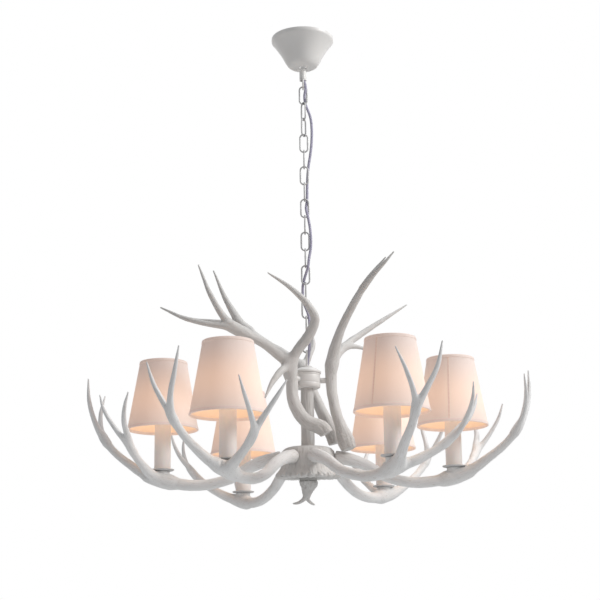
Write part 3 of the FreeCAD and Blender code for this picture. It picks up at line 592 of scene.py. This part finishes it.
def nearness(limb, spots):
    """How far each spot is from a limb's skin, the way out of it, its grain, place and radius."""
    centre, radius, along, side, other = limb
    best = np.full(len(spots), 1e9)
    where = np.zeros(len(spots), int)
    share = np.zeros(len(spots))
    for k in range(len(centre) - 1):
        step = centre[k + 1] - centre[k]
        rel = spots - centre[k]
        t = np.clip(rel @ step / (step @ step), 0, 1)
        off = rel - t[:, None] * step
        gap = np.sqrt(np.einsum("ij,ij->i", off, off)) - radius[k] - t * (radius[k + 1] - radius[k])
        closer = gap < best
        best[closer] = gap[closer]
        where[closer] = k
        share[closer] = t[closer]
    t = share[:, None]
    foot = centre[where] * (1 - t) + centre[where + 1] * t
    out = spots - foot
    reach = np.maximum(np.linalg.norm(out, axis=1), 1e-6)
    length = along[where] * (1 - share) + along[where + 1] * share
    grain = np.stack([
        np.einsum("ij,ij->i", out, side[where]), np.einsum("ij,ij->i", out, other[where]), 0.13 * length
    ], axis=1)
    thick = radius[where] * (1 - share) + radius[where + 1] * share
    return best, out / reach[:, None], grain, length, thick


def webbed(limbs, spots, web):
    """All limbs as one skin with rounded webs in the forks.

    For each spot: the gap to the skin, the way out, the grain, the length from the butt and the
    gap without webs.  Branches count from BRANCH_START on, so that only a butt is wrinkled.
    """
    gap, way, grain, length, thick = nearness(limbs[0], spots)
    root = length.copy()
    hard = gap.copy()
    for limb in limbs[1:]:
        g, w, n, length, r = nearness(limb, spots)
        hard = np.minimum(hard, g)
        reach = np.minimum(web, WEB_LIMIT * np.minimum(r, thick))
        share = np.clip(0.5 + 0.5 * (g - gap) / reach, 0, 1)
        gap = g * (1 - share) + gap * share - reach * share * (1 - share)
        way = w * (1 - share)[:, None] + way * share[:, None]
        grain = n * (1 - share)[:, None] + grain * share[:, None]
        root = (length + BRANCH_START) * (1 - share) + root * share
        thick = r * (1 - share) + thick * share
    return gap, way / np.maximum(np.linalg.norm(way, axis=1), 1e-6)[:, None], grain, root, hard


def eased(values, edges, rounds):
    """Average a value over each spot's neighbours."""
    a, b = edges[:, 0], edges[:, 1]
    count = np.bincount(a, minlength=len(values)) + np.bincount(b, minlength=len(values))
    for _ in range(rounds):
        total = np.bincount(a, values[b], len(values)) + np.bincount(b, values[a], len(values))
        values = 0.5 * values + 0.5 * total / np.maximum(count, 1)
    return values


def ripple(where, size):
    """Noise between about -1 and 1 at every place, for features of about the size."""
    return np.array([noise.noise(Vector(p)) for p in (where / size).tolist()])


def merged(node):
    """A closed copy of a CAD node's mesh."""
    bm = bmesh.new()
    bm.from_mesh(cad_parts[node].data)
    bmesh.ops.remove_doubles(bm, verts=bm.verts, dist=2e-6)
    return bm


def even_skin(bm, size):
    """The same solid with an even skin of small faces, as a mesh."""
    mesh = mesh_of(bm, "skin")
    thing = bpy.data.objects.new("skin", mesh)
    scene.collection.objects.link(thing)
    remesh = thing.modifiers.new("remesh", "REMESH")
    remesh.mode = "VOXEL"
    remesh.voxel_size = size / 1000
    remesh.use_smooth_shade = True
    fine = bpy.data.meshes.new_from_object(thing.evaluated_get(bpy.context.evaluated_depsgraph_get()))
    bpy.data.objects.remove(thing)
    bpy.data.meshes.remove(mesh)
    return fine


def rows_of(items, key, width, kind=float):
    """One property of a mesh's vertices, edges or normals, one row for each."""
    flat = np.empty(len(items) * width, dtype=kind)
    items.foreach_get(key, flat)
    return flat.reshape(-1, width)


def spots_of(mesh):
    """Every vertex in millimetres."""
    return rows_of(mesh.vertices, "co", 3) * 1000


def set_spots(mesh, spots):
    """Move every vertex to its place in millimetres."""
    mesh.vertices.foreach_set("co", (spots / 1000).ravel())
    mesh.update()


def set_mark(mesh, name, values):
    """Store a number or a vector with every vertex, for the finish to read."""
    kind, key = ("FLOAT_VECTOR", "vector") if values.ndim > 1 else ("FLOAT", "value")
    mark = mesh.attributes.new(name, kind, "POINT")
    mark.data.foreach_set(key, values.astype(np.float32).ravel())


def shown_mesh(name, mesh, finish, node):
    """A ready mesh as a smooth piece of the fixture."""
    mesh.polygons.foreach_set("use_smooth", [True] * len(mesh.polygons))
    return placed(name, mesh, finish, "fixture", node)


def antler(name, node, finish, limbs, web, ridge, butt_length, seat=None):
    """The CAD antler with webbed forks, long ridges, a wrinkled butt and its flat for a lamp."""
    mesh = even_skin(merged(node), SKIN)
    spots = spots_of(mesh)
    edges = rows_of(mesh.edges, "vertices", 2, np.int32)
    runs = [smooth_run(limb) for limb in limbs]
    gap, way, grain, root, hard = webbed(runs, spots, web)
    trust = (1 - np.clip((np.abs(hard) - SLACK) / FADE, 0, 1)) * np.clip((root - 0.6) / 2.0, 0, 1)
    trust = eased(trust, edges, 3) * np.clip((root - 0.3) / 1.5, 0, 1)
    for _ in range(3):
        spots = spots - way * (gap * trust)[:, None]
        gap, way, grain, root, hard = webbed(runs, spots, web)
    for axis in range(3):
        spots[:, axis] = eased(spots[:, axis], edges, 3)
    near_butt = np.clip(1 - root / butt_length, 0, 1) ** 1.5
    folds = ripple(grain, 4.2) * (0.45 + 0.9 * near_butt) + ripple(grain + 70, 9.0) * 0.8
    lumps = ripple(spots, 15.0) * 0.6 + ripple(spots, 3.0) * near_butt * 0.7
    girth = np.clip(np.linalg.norm(grain[:, :2], axis=1) / 10.0, 0.25, 1.0)
    girth = np.clip(eased(girth, edges, 3), 0.25, 1.0)
    spots = spots + way * (trust * ridge * (folds + lumps) * girth)[:, None]
    if seat:
        low = seat[2] - SEAT_SINK
        under = np.hypot(spots[:, 0] - seat[0], spots[:, 1] - seat[1]) < SEAT_CLEAR_R
        under &= (spots[:, 2] > low) & (spots[:, 2] < seat[2] + SEAT_CLEAR_H)
        spots[under, 2] = low
    set_spots(mesh, spots)
    set_mark(mesh, "grain", grain)
    set_mark(mesh, "butt", near_butt * trust)
    return shown_mesh(name, mesh, finish, node)


# ------------------------------------------------------------ lamp arms
# Six antlers, tenoned into the hub drum, each with a flat seat for its lamp and two forked
# limbs that rise outside the shade.
RING_R = 286.0
SEAT = -81.0
ROOT_R = 52.0
SPAN = RING_R - ROOT_R
ARMS = {
    "r": (0.0, 9.0, 2.7, 0.0), "br": (55.8, -2.0, -0.7, 0.0), "bl": (118.8, -9.0, 1.2, 0.0),
    "l": (179.5, 9.0, 1.6, 0.0), "fl": (239.7, -3.5, -1.5, -5.0), "fr": (302.0, -0.5, -2.5, -22.0),
}
LAMPS = {
    name: (RING_R * math.cos(math.radians(bearing)), RING_R * math.sin(math.radians(bearing)), lift)
    for name, (bearing, lift, roll, swing) in ARMS.items()
}
BEAM = (
    (ROOT_R, 0, -52, 14.5), (ROOT_R + 12, 0, -53, 13.4), (ROOT_R + 0.23 * SPAN, 0, -66, 11.5),
    (ROOT_R + 0.42 * SPAN, 0, SEAT - 11, 10.5), (ROOT_R + 0.63 * SPAN, 0, SEAT - 25, 10.3),
    (ROOT_R + 0.85 * SPAN, 0, SEAT - 25, 11.0), (RING_R + 2, 0, SEAT - 17, 12.5),
    (RING_R + 26, -4, SEAT - 10, 9.0),
)
BRANCHES = (
    ((-14, 0, -21, 9.0), (24, -8, -11, 10.5), (66, -24, 15, 8.5), (99, -33, 41, 7.6),
     (123, -39, 69, 7.6), (139, -31, 99, 5.6), (150, -16, 139, 4.3), (152, -7, 185, 1.5)),
    ((116, -38, 61, 6.0), (129, -50, 87, 5.2), (135, -70, 123, 4.2), (130, -92, 167, 1.5)),
    ((-14, 0, -21, 9.0), (17, 20, -11, 10.0), (36, 52, 7, 8.0), (50, 80, 29, 7.2),
     (56, 98, 51, 6.4), (61, 120, 75, 5.0), (58, 138, 101, 3.8), (50, 151, 127, 1.5)),
    ((48, 76, 25, 5.6), (64, 93, 45, 5.6), (86, 98, 73, 4.6), (104, 97, 103, 3.5), (113, 92, 132, 1.5)),
)


def arm_place(name, u, v, h):
    """A point of the common arm on the named one, in millimetres of the frame."""
    bearing, lift, roll, swing = ARMS[name]
    s = math.sin(math.radians(roll))
    c = math.cos(math.radians(roll))
    low = SEAT - 29.0
    v, h = c * v - s * (h - low), s * v + c * (h - low) + low
    steady = RING_R * 0.7
    near_root = max(0.0, min(1.0, (steady - u) / (steady - ROOT_R)))
    a = math.radians(bearing + swing * near_root)
    x = u * math.cos(a) - v * math.sin(a)
    y = u * math.sin(a) + v * math.cos(a)
    return (x, y, h + lift * u / RING_R - HANG)


for name, (x, y, lift) in LAMPS.items():
    limbs = [[(*arm_place(name, u, v, h), r) for u, v, h, r in BEAM]]
    for branch in BRANCHES:
        limbs.append([(*arm_place(name, RING_R + u, v, SEAT + h), r) for u, v, h, r in branch])
    seat = (x, y, SEAT + lift - HANG)
    antler("arm_" + name, "antler_" + name, resin, limbs, web=15.0, ridge=0.7, butt_length=75.0, seat=seat)

# ------------------------------------------------------------ crown antlers
# Three taller antlers round the column, butts down, each held off the cup by one stud.
CROWNS = {
    "front": (
        ((36, -37, -8, 12.5), (33, -37, -2, 13.5), (-4, -38, 18, 13.0), (-26, -39, 55, 12.0),
         (-31, -38, 104, 11.5), (-37, -46, 132, 12.0), (-60, -60, 150, 10.5), (-90, -77, 169, 9.5),
         (-137, -98, 190, 10.0), (-160, -106, 212, 7.2), (-184, -112, 252, 5.2), (-209, -115, 315, 1.6)),
        ((-120, -92, 184, 7.0), (-150, -104, 192, 7.2), (-186, -108, 197, 5.8), (-232, -109, 208, 4.6),
         (-284, -100, 234, 1.6)),
        ((-35, -42, 112, 9.0), (-22, -54, 148, 9.5), (8, -68, 188, 10.0), (17, -77, 212, 9.0),
         (4, -84, 238, 7.4), (-24, -94, 266, 5.2), (-75, -110, 299, 1.6)),
        ((-34, -46, 130, 7.0), (-52, -68, 110, 7.0), (-68, -88, 84, 5.0), (-81, -105, 52, 1.8)),
    ),
    "right": (
        ((80, -21, -36, 13.0), (77, -20, -26, 16.0), (66, -15, 6, 11.5), (53, -6, 55, 10.5),
         (48, 0, 104, 10.8), (51, -2, 146, 11.5), (66, -18, 196, 9.0), (96, -48, 252, 7.5),
         (126, -72, 296, 5.5), (158, -85, 334, 1.6)),
        ((112, -62, 276, 4.6), (134, -80, 300, 4.4), (156, -92, 322, 3.2), (174, -96, 342, 1.5)),
        ((50, 0, 134, 9.0), (62, 18, 160, 8.5), (82, 42, 186, 7.6), (110, 64, 210, 6.6),
         (156, 86, 244, 4.6), (212, 110, 284, 1.6)),
        ((72, 32, 178, 5.5), (96, 44, 182, 4.8), (132, 62, 176, 1.8)),
    ),
    "back": (
        ((54, 50, -16, 12.0), (50, 50, -2, 12.5), (22, 49, 66, 10.8), (5, 48, 104, 10.8),
         (-12, 56, 142, 11.5), (-44, 76, 172, 10.0), (-90, 96, 206, 9.0), (-136, 110, 248, 9.0),
         (-166, 118, 298, 6.0), (-195, 125, 368, 1.6)),
        ((-118, 104, 232, 6.4), (-152, 113, 248, 6.2), (-196, 120, 255, 5.0), (-234, 126, 261, 3.6),
         (-269, 130, 273, 1.5)),
        ((-8, 54, 132, 8.0), (4, 70, 168, 7.0), (14, 84, 196, 5.0), (12, 96, 222, 1.8)),
    ),
}
for side, runs in CROWNS.items():
    limbs = [[(x, y, h - HANG, r) for x, y, h, r in run] for run in runs]
    antler(
        "crown_antler_" + side, "crown_" + side, crown_resin_shaded, limbs, web=20.0, ridge=1.0, butt_length=120.0
    )
finished("crown_standoffs", enamel)

# ------------------------------------------------------------ hub
# Resin drum cast like the end of a great antler, with fine upright grooves and a ragged rim of
# pearls.  A fluted sleeve round the column tube stands on it, a cover in a darker grey, which is
# painted shade, closes it from below, and a rough pendant finial hangs under the cover.
DRUM_R = 53.0
SLEEVE_R = 12.9
RIM_H = -90.0
FLARE_H = -66.0
FINIAL_TIP = -133.0

hub_resin = Finish("hub_resin", Roughness=0.7)
# Darker in groove bottoms, between the pearls and in the finial's wrinkles: painted shade, mixed with random
# patches.
pit_shade = hub_resin.own("pit_shade", "Fac")
patch = hub_resin.speckle(hub_resin.place(), 40.0, 4.0)
pore = hub_resin.speckle(hub_resin.place(), 520.0, 3.0)
patches = hub_resin.blend(patch, grey(0.70, 0.012), grey(0.60, 0.02))
hub_resin.varies("Base Color", hub_resin.blend(pit_shade * 0.5 + patch * 0.12, patches, (0.40, 0.37, 0.345, 1)))
hub_resin.varies("Roughness", patch * 0.2 + 0.58)
hub_resin.varies("Normal", hub_resin.relief(pore + patch * 0.5, 0.0003))


def grooved(bm, name, depth, pitch, reach, node, pearls=0.0):
    """Cut irregular upright grooves into a turned shape, with pearls round the rim if asked."""
    mesh = mesh_of(bm, name)
    spots = spots_of(mesh)
    radial = spots.copy()
    radial[:, 2] = 0
    radius = np.linalg.norm(radial, axis=1)
    radial /= np.maximum(radius, 1e-6)[:, None]
    bark = np.stack([radial[:, 0] * reach, radial[:, 1] * reach, spots[:, 2] * 0.10], axis=1)
    furrow = ripple(bark, pitch) + 0.6 * ripple(bark + 40, pitch * 0.45)
    outer = np.clip((radius - reach + 6.0) / 3.0, 0, 1)
    push = depth * furrow * outer
    # Groove bottoms are marked for painted shade.
    pit_shade = np.clip(-furrow * 1.1, 0, 1) * outer
    if pearls:
        h = spots[:, 2] + HANG
        angle = np.arctan2(radial[:, 1], radial[:, 0])
        low = np.exp(-((h - RIM_H) / 6.5) ** 2)
        beads = np.abs(np.sin(13 * angle + 1.6 * np.sin(3 * angle))) ** 0.7
        rough = ripple(spots, 4.0) + 0.5 * ripple(spots, 1.9)
        push += low * outer * (pearls * (beads - 0.45) + 3.0 * rough)
        # The gaps between the pearls are marked for painted shade too.
        pit_shade = np.clip(pit_shade * (1 - low) + low * (0.75 - beads) * 0.9, 0, 1)
        spots[:, 2] += low * outer * 3.0 * ripple(spots + 90, 5.0)
        spots[:, 2] += np.clip((FLARE_H - h) / 18.0, 0, 1) * 4.0 * (1 + spots[:, 1] / 60.0)
    set_spots(mesh, spots + radial * push[:, None])
    set_mark(mesh, "pit_shade", pit_shade)
    return shown_mesh(name, mesh, hub_resin, node)


def graded(corners, step):
    """The same outline with a corner every step millimetres."""
    fine = []
    ends = corners[1:] + (corners[:1] if corners[0][0] > 0 else [])
    for (r0, h0), (r1, h1) in zip(corners, ends):
        count = max(1, int(math.hypot(r1 - r0, h1 - h0) / step))
        fine += [(r0 + (r1 - r0) * k / count, h0 + (h1 - h0) * k / count) for k in range(count)]
    return fine + ([] if corners[0][0] > 0 else corners[-1:])


DRUM = [
    (7.4, -30.0), (36.0, -30.0), (42.0, -30.7), (47.0, -33.0), (50.8, -37.0), (52.8, -43.0), (53.4, -58.0),
    (54.0, -70.0), (56.0, -76.5), (59.8, -81.5), (62.4, -86.0), (62.6, -89.5), (60.4, -93.0), (56.0, -94.6),
    (50.0, -94.0), (46.4, -92.6), (44.6, -90.0), (44.6, -36.0), (7.4, -36.0),
]
SLEEVE = [(6.9, 88.0), (12.6, 88.0), (SLEEVE_R, 87.0), (SLEEVE_R, -29.0), (12.6, -30.0), (6.9, -30.0)]
COVER = [
    (0, -83.0), (43.6, -83.0), (43.6, -85.4), (41.0, -86.4), (20.0, -86.4), (17.6, -88.0), (17.0, -95.6),
    (0, -95.6),
]
grooved(spun(graded(DRUM, 1.7), steps=360), "drum", 0.75, 2.1, DRUM_R, "hub_drum", pearls=3.4)
grooved(spun(graded(SLEEVE, 2.2), steps=112), "sleeve", 0.62, 3.2, SLEEVE_R, "column_sleeve")

# The cover's dark grey is painted shade under the drum.
shadowed = Finish("cover_painted_shade", Roughness=0.75)
film = shadowed.speckle(shadowed.place(), 70.0, 4.0)
shadowed.varies("Base Color", shadowed.blend(film, grey(0.50, 0.02), grey(0.38, 0.03)))
shadowed.varies("Normal", shadowed.relief(film, 0.0003))
piece("cover", spun(COVER, soft=0.4, segments=2), shadowed, "fixture", "hub_cover")

pendant = even_skin(merged("finial"), 0.8)
pendant_spots = spots_of(pendant)
tall = pendant_spots * (1.0, 1.0, 0.22)
wrinkle = ripple(tall, 3.6) + 0.5 * ripple(pendant_spots, 2.0)
thick = np.clip((pendant_spots[:, 2] + HANG - FINIAL_TIP) / 30, 0.12, 1)
outward = rows_of(pendant.vertex_normals, "vector", 3)
set_spots(pendant, pendant_spots + outward * (wrinkle * 1.9 * thick)[:, None])
# The wrinkles' troughs are marked for painted shade.
set_mark(pendant, "pit_shade", np.clip(-wrinkle * 0.9, 0, 1) * thick)
shown_mesh("pendant_finial", pendant, hub_resin, "finial")

# ------------------------------------------------------------ drip plates
# Pressed steel saucers under the candles, rim rolled upwards, enamelled a greyer white.  Each
# stands on the flat seat of its arm.
DRIP_T = 4.0
SAUCER = [
    (0, 0), (14.0, 0), (21.6, 0.8), (23.1, 2.0), (23.3, 3.0), (22.5, 3.6), (21.0, 3.2), (19.6, 2.7),
    (17.4, 2.6), (17.0, DRIP_T), (0, DRIP_T),
]

saucer_paint = Finish("saucer_paint", Roughness=0.45)
smudge = saucer_paint.speckle(saucer_paint.place(), 55.0, 4.0)
saucer_paint.varies("Base Color", saucer_paint.blend(smudge, grey(0.66, -0.006), grey(0.54, 0.01)))
saucer_paint.varies("Roughness", smudge * 0.25 + 0.32)
saucer_paint.varies("Normal", saucer_paint.relief(saucer_paint.speckle(saucer_paint.place(), 380.0), 0.0001))


def raised(outline, up):
    """The same outline, moved up."""
    return [(r, h + up) for r, h in outline]


for name, (x, y, lift) in LAMPS.items():
    saucer = spun(raised(SAUCER, SEAT + lift), x, y, 64, 0.25, 2)
    piece("saucer_" + name, saucer, saucer_paint, "fixture", "drip_plates")

# ------------------------------------------------------------ candle sleeves
# Cream card tubes, faintly uneven, pushed over the lamp holders.  Each stands on its drip plate.
CANDLE_FOOT = SEAT + DRIP_T
CANDLE_H = 100
CANDLE = [(14.6, 0), (16.1, 0), (16.0, 2), (16.05, 50), (16.0, 99.4), (15.6, CANDLE_H), (14.6, CANDLE_H)]

card = Finish("candle_card", Roughness=0.6, Subsurface_Weight=0.08, Subsurface_Radius=(0.004, 0.002, 0.001))
fibre = card.speckle(card.stretched((260, 260, 30)), 1.0)
wash = card.speckle(card.place(), 26.0, 3.0)
faded = wash * 0.6 + fibre * 0.4
card.varies("Base Color", card.blend(faded, (0.92, 0.885, 0.865, 1), (0.87, 0.825, 0.80, 1)))
card.varies("Roughness", fibre * 0.2 + 0.5)
card.varies("Normal", card.relief(fibre, 0.00018))

for name, (x, y, lift) in LAMPS.items():
    sleeve = spun(graded(raised(CANDLE, CANDLE_FOOT + lift), 9.0), x, y, 56)
    piece("candle_" + name, sleeve, card, "fixture", "candle_sleeves")

# ------------------------------------------------------------ bulbs and holders
# Frosted candle lamps, lit, each on a body of its own.  They screw into plastic holders inside
# the sleeves.
FLANGE_T = 2
SPIGOT_H = 1.6
GAP = 0.3
NECK_H = CANDLE_FOOT + CANDLE_H + FLANGE_T + SPIGOT_H + GAP
NECK_R = 8.6
FLAME = [(0, -25), (3.0, -25), (6.9, -22), (6.9, 0), (NECK_R, 1)]
FLAME += [(NECK_R + NECK_R * math.sin(k * math.pi / 20) ** 0.8, 1 + 3.3 * k) for k in range(1, 10)]
FLAME += [(16.9, 37), (15.4, 44), (12.9, 52), (9.9, 60), (6.6, 68), (3.6, 75), (1.6, 79), (0, 80)]

frosted = Finish("frosted_glass", Roughness=0.25, Emission_Strength=2.2)
hot = (1 - abs((frosted.axis(frosted.place(), "Z") + 0.779) / 0.030)).between(0.0, 1.0)
mist = frosted.speckle(frosted.place(), 300.0)
frosted.varies("Base Color", frosted.blend(mist, grey(0.80), grey(0.76, 0.01)))
frosted.varies("Emission Color", frosted.blend(hot, (0.75, 0.42, 0.20, 1), (1.0, 0.78, 0.50, 1)))
frosted.varies("Normal", frosted.relief(frosted.speckle(frosted.place(), 1200.0), 0.00005))

for name, (x, y, lift) in LAMPS.items():
    glass = spun(raised(FLAME, NECK_H + lift), x, y, 40)
    piece("candle_bulb_" + name, glass, frosted, "bulb_" + name, "bulb_" + name)

holder_plastic = Finish("holder_plastic", Roughness=0.35)
haze = holder_plastic.speckle(holder_plastic.place(), 90.0)
holder_plastic.varies("Base Color", holder_plastic.blend(haze, grey(0.76, 0.02), grey(0.70, 0.03)))
holder_plastic.varies("Roughness", haze * 0.15 + 0.3)
finished("lamp_holders", holder_plastic)

# ------------------------------------------------------------ shades
# Off-white cloth laminated on card, lining peach, edges bound with folded tape and one sewn
# seam up the side, stretched on a plated wire carrier that rests on the lamp holder.  The lit
# bulb makes them glow, most of all at mid height.
FOOT_R = 70.0
TOP_R = 46.5
SHADE_H = 136.0
LEAN = (FOOT_R - TOP_R) / SHADE_H
CLOTH_T = 1.2
SEAMS = {"r": 259, "br": 277, "bl": 70, "l": 100, "fl": 62, "fr": 236}
SEAM_END = 5.0
SEAM_RIDGE = ((-1.7, -0.05), (-1.4, 0.2), (1.4, 0.2), (1.7, -0.05), (0.0, -0.3))

shade_cloth = Finish(
    "shade_cloth", Roughness=0.85, Sheen_Weight=0.15, Sheen_Roughness=0.6, Emission_Strength=0.42
)
lie = shade_cloth.own("lie")
rise = shade_cloth.axis(lie, "Z")
inside = shade_cloth.own("lining", "Fac").between(0.4, 0.6)
turned = shade_cloth.axis(lie, "Y").angle(shade_cloth.axis(lie, "X"))
weft = (rise * 900).wave()
warp = (turned * 420).wave()
slub = shade_cloth.speckle(
    shade_cloth.add("ShaderNodeCombineXYZ", values={0: turned * 4, 1: rise * 70, 2: 0.0}), 3.0, 4.0
)
glow = (1 - abs((rise - 0.42) / 0.62)).between(0.0, 1.0)
dim_hem = rise.between(-0.01, 0.06) * (1 - rise.between(0.95, 1.01)) * 0.55 + 0.45
outer_tone = shade_cloth.blend(slub, (0.83, 0.775, 0.745, 1), (0.79, 0.725, 0.69, 1))
lining_tone = shade_cloth.blend(slub, (0.82, 0.68, 0.57, 1), (0.78, 0.61, 0.49, 1))
shade_cloth.varies("Base Color", shade_cloth.blend(inside, outer_tone, lining_tone))
outer_glow = shade_cloth.blend(glow, (0.42, 0.24, 0.17, 1), (1.0, 0.50, 0.25, 1))
lining_glow = shade_cloth.blend(glow, (0.70, 0.42, 0.26, 1), (1.0, 0.70, 0.42, 1))
lit = shade_cloth.blend(inside, outer_glow, lining_glow)
shade_cloth.varies("Emission Color", shade_cloth.blend(1 - dim_hem, lit, (0.10, 0.05, 0.03, 1)))
shade_cloth.varies("Normal", shade_cloth.relief((weft + warp) * 0.25 + slub, 0.00025))

# The tapes glow as well: painted glow of the bulb's light through them.
tape = Finish("shade_tape", Roughness=0.8, Sheen_Weight=0.2, Emission_Strength=0.24)
rib = (tape.axis(tape.place(), "Z") * 5200).wave()
nap = tape.speckle(tape.place(), 240.0, 3.0)
tape.varies("Base Color", tape.blend(nap, (0.80, 0.74, 0.71, 1), (0.74, 0.67, 0.635, 1)))
tape.varies("Emission Color", tape.blend(nap, (0.9, 0.5, 0.33, 1), (0.7, 0.38, 0.25, 1)))
tape.varies("Normal", tape.relief(rib * 0.5 + nap, 0.0002))

# The seam glows as well: painted glow of the bulb's light through it.
seam_thread = Finish("seam_thread", Roughness=0.85, Emission_Strength=0.3)
stitch = (seam_thread.axis(seam_thread.place(), "Z") * 2400).wave()
crest = stitch.between(-0.6, 0.6)
seam_thread.varies("Base Color", seam_thread.blend(crest, (0.70, 0.62, 0.57, 1), (0.79, 0.72, 0.68, 1)))
seam_thread.varies("Emission Color", seam_thread.blend(crest, (0.6, 0.3, 0.16, 1), (0.8, 0.42, 0.24, 1)))
seam_thread.varies("Normal", seam_thread.relief(stitch, 0.0002))


def marked_shade(bm, x, y, foot):
    """Store each spot's direction round the shade, its share of the height and its side."""
    lie = bm.verts.layers.float_vector.new("lie")
    lining = bm.verts.layers.float.new("lining")
    for vert in bm.verts:
        dx = vert.co.x * 1000 - x
        dy = vert.co.y * 1000 - y
        h = vert.co.z * 1000 + HANG - foot
        out = math.hypot(dx, dy)
        vert[lie] = (dx / out, dy / out, h / SHADE_H)
        vert[lining] = 1.0 if out < FOOT_R - LEAN * h - 0.6 else 0.0
    return bm


def tape_fold(r, h, way):
    """The outline of a tape folded over the cloth's edge; way is 1 at the foot, -1 at the top."""
    shift = LEAN * 5.5 * way
    return [
        (r + 0.15, h), (r + 0.75, h + way * 0.5), (r + 0.75 - shift, h + way * 5.2),
        (r + 0.2 - shift, h + way * 5.7), (r - 0.2 - shift, h + way * 5.5), (r - 1.3 - shift, h + way * 5.5),
        (r - 1.9 - shift, h + way * 5.2), (r - 1.9, h + way * 0.5), (r - 1.3, h - way * 0.3),
        (r - 0.5, h - way * 0.4),
    ]


def seam_strip(x, y, lift, bearing):
    """A low ridge up the side of a shade, from tape to tape."""
    strip = bmesh.new()
    corners = []
    for r, h, way in ((FOOT_R, lift + SEAM_END, 1), (TOP_R, lift + SHADE_H - SEAM_END, -1)):
        out_r = r - LEAN * SEAM_END * way + 0.05
        for across, proud in SEAM_RIDGE:
            b = math.radians(bearing) + across / out_r
            corners.append(strip.verts.new(
                spot(x + (out_r + proud) * math.cos(b), y + (out_r + proud) * math.sin(b), h)
            ))
    low_face = strip.faces.new(corners[:5])
    high_face = strip.faces.new(corners[5:])
    bmesh.ops.bridge_loops(strip, edges=low_face.edges[:] + high_face.edges[:])
    bmesh.ops.recalc_face_normals(strip, faces=strip.faces)
    crisp(strip)
    return strip


for name, (x, y, lift) in LAMPS.items():
    top = lift + SHADE_H
    cloth = [(FOOT_R, lift), (TOP_R, top), (TOP_R - CLOTH_T, top), (FOOT_R - CLOTH_T, lift)]
    cone = marked_shade(spun(graded(cloth, 9.0), x, y, 96), x, y, lift)
    cover = piece("shade_cloth_" + name, cone, shade_cloth, "shade_" + name, "shade_" + name)
    "carrier_" + name
    for end, r, h, way in (("foot", FOOT_R, lift, 1), ("top", TOP_R, top, -1)):
        band = spun(tape_fold(r, h, way), x, y, 96)
        piece(
            "shade_%s_tape_%s" % (end, name), band, tape, "shade_" + name, "shade_" + name
        )
    strip = seam_strip(x, y, lift, SEAMS[name])
    piece("shade_seam_" + name, strip, seam_thread, "shade_" + name, "shade_" + name)
    finished("carrier_" + name, plated)
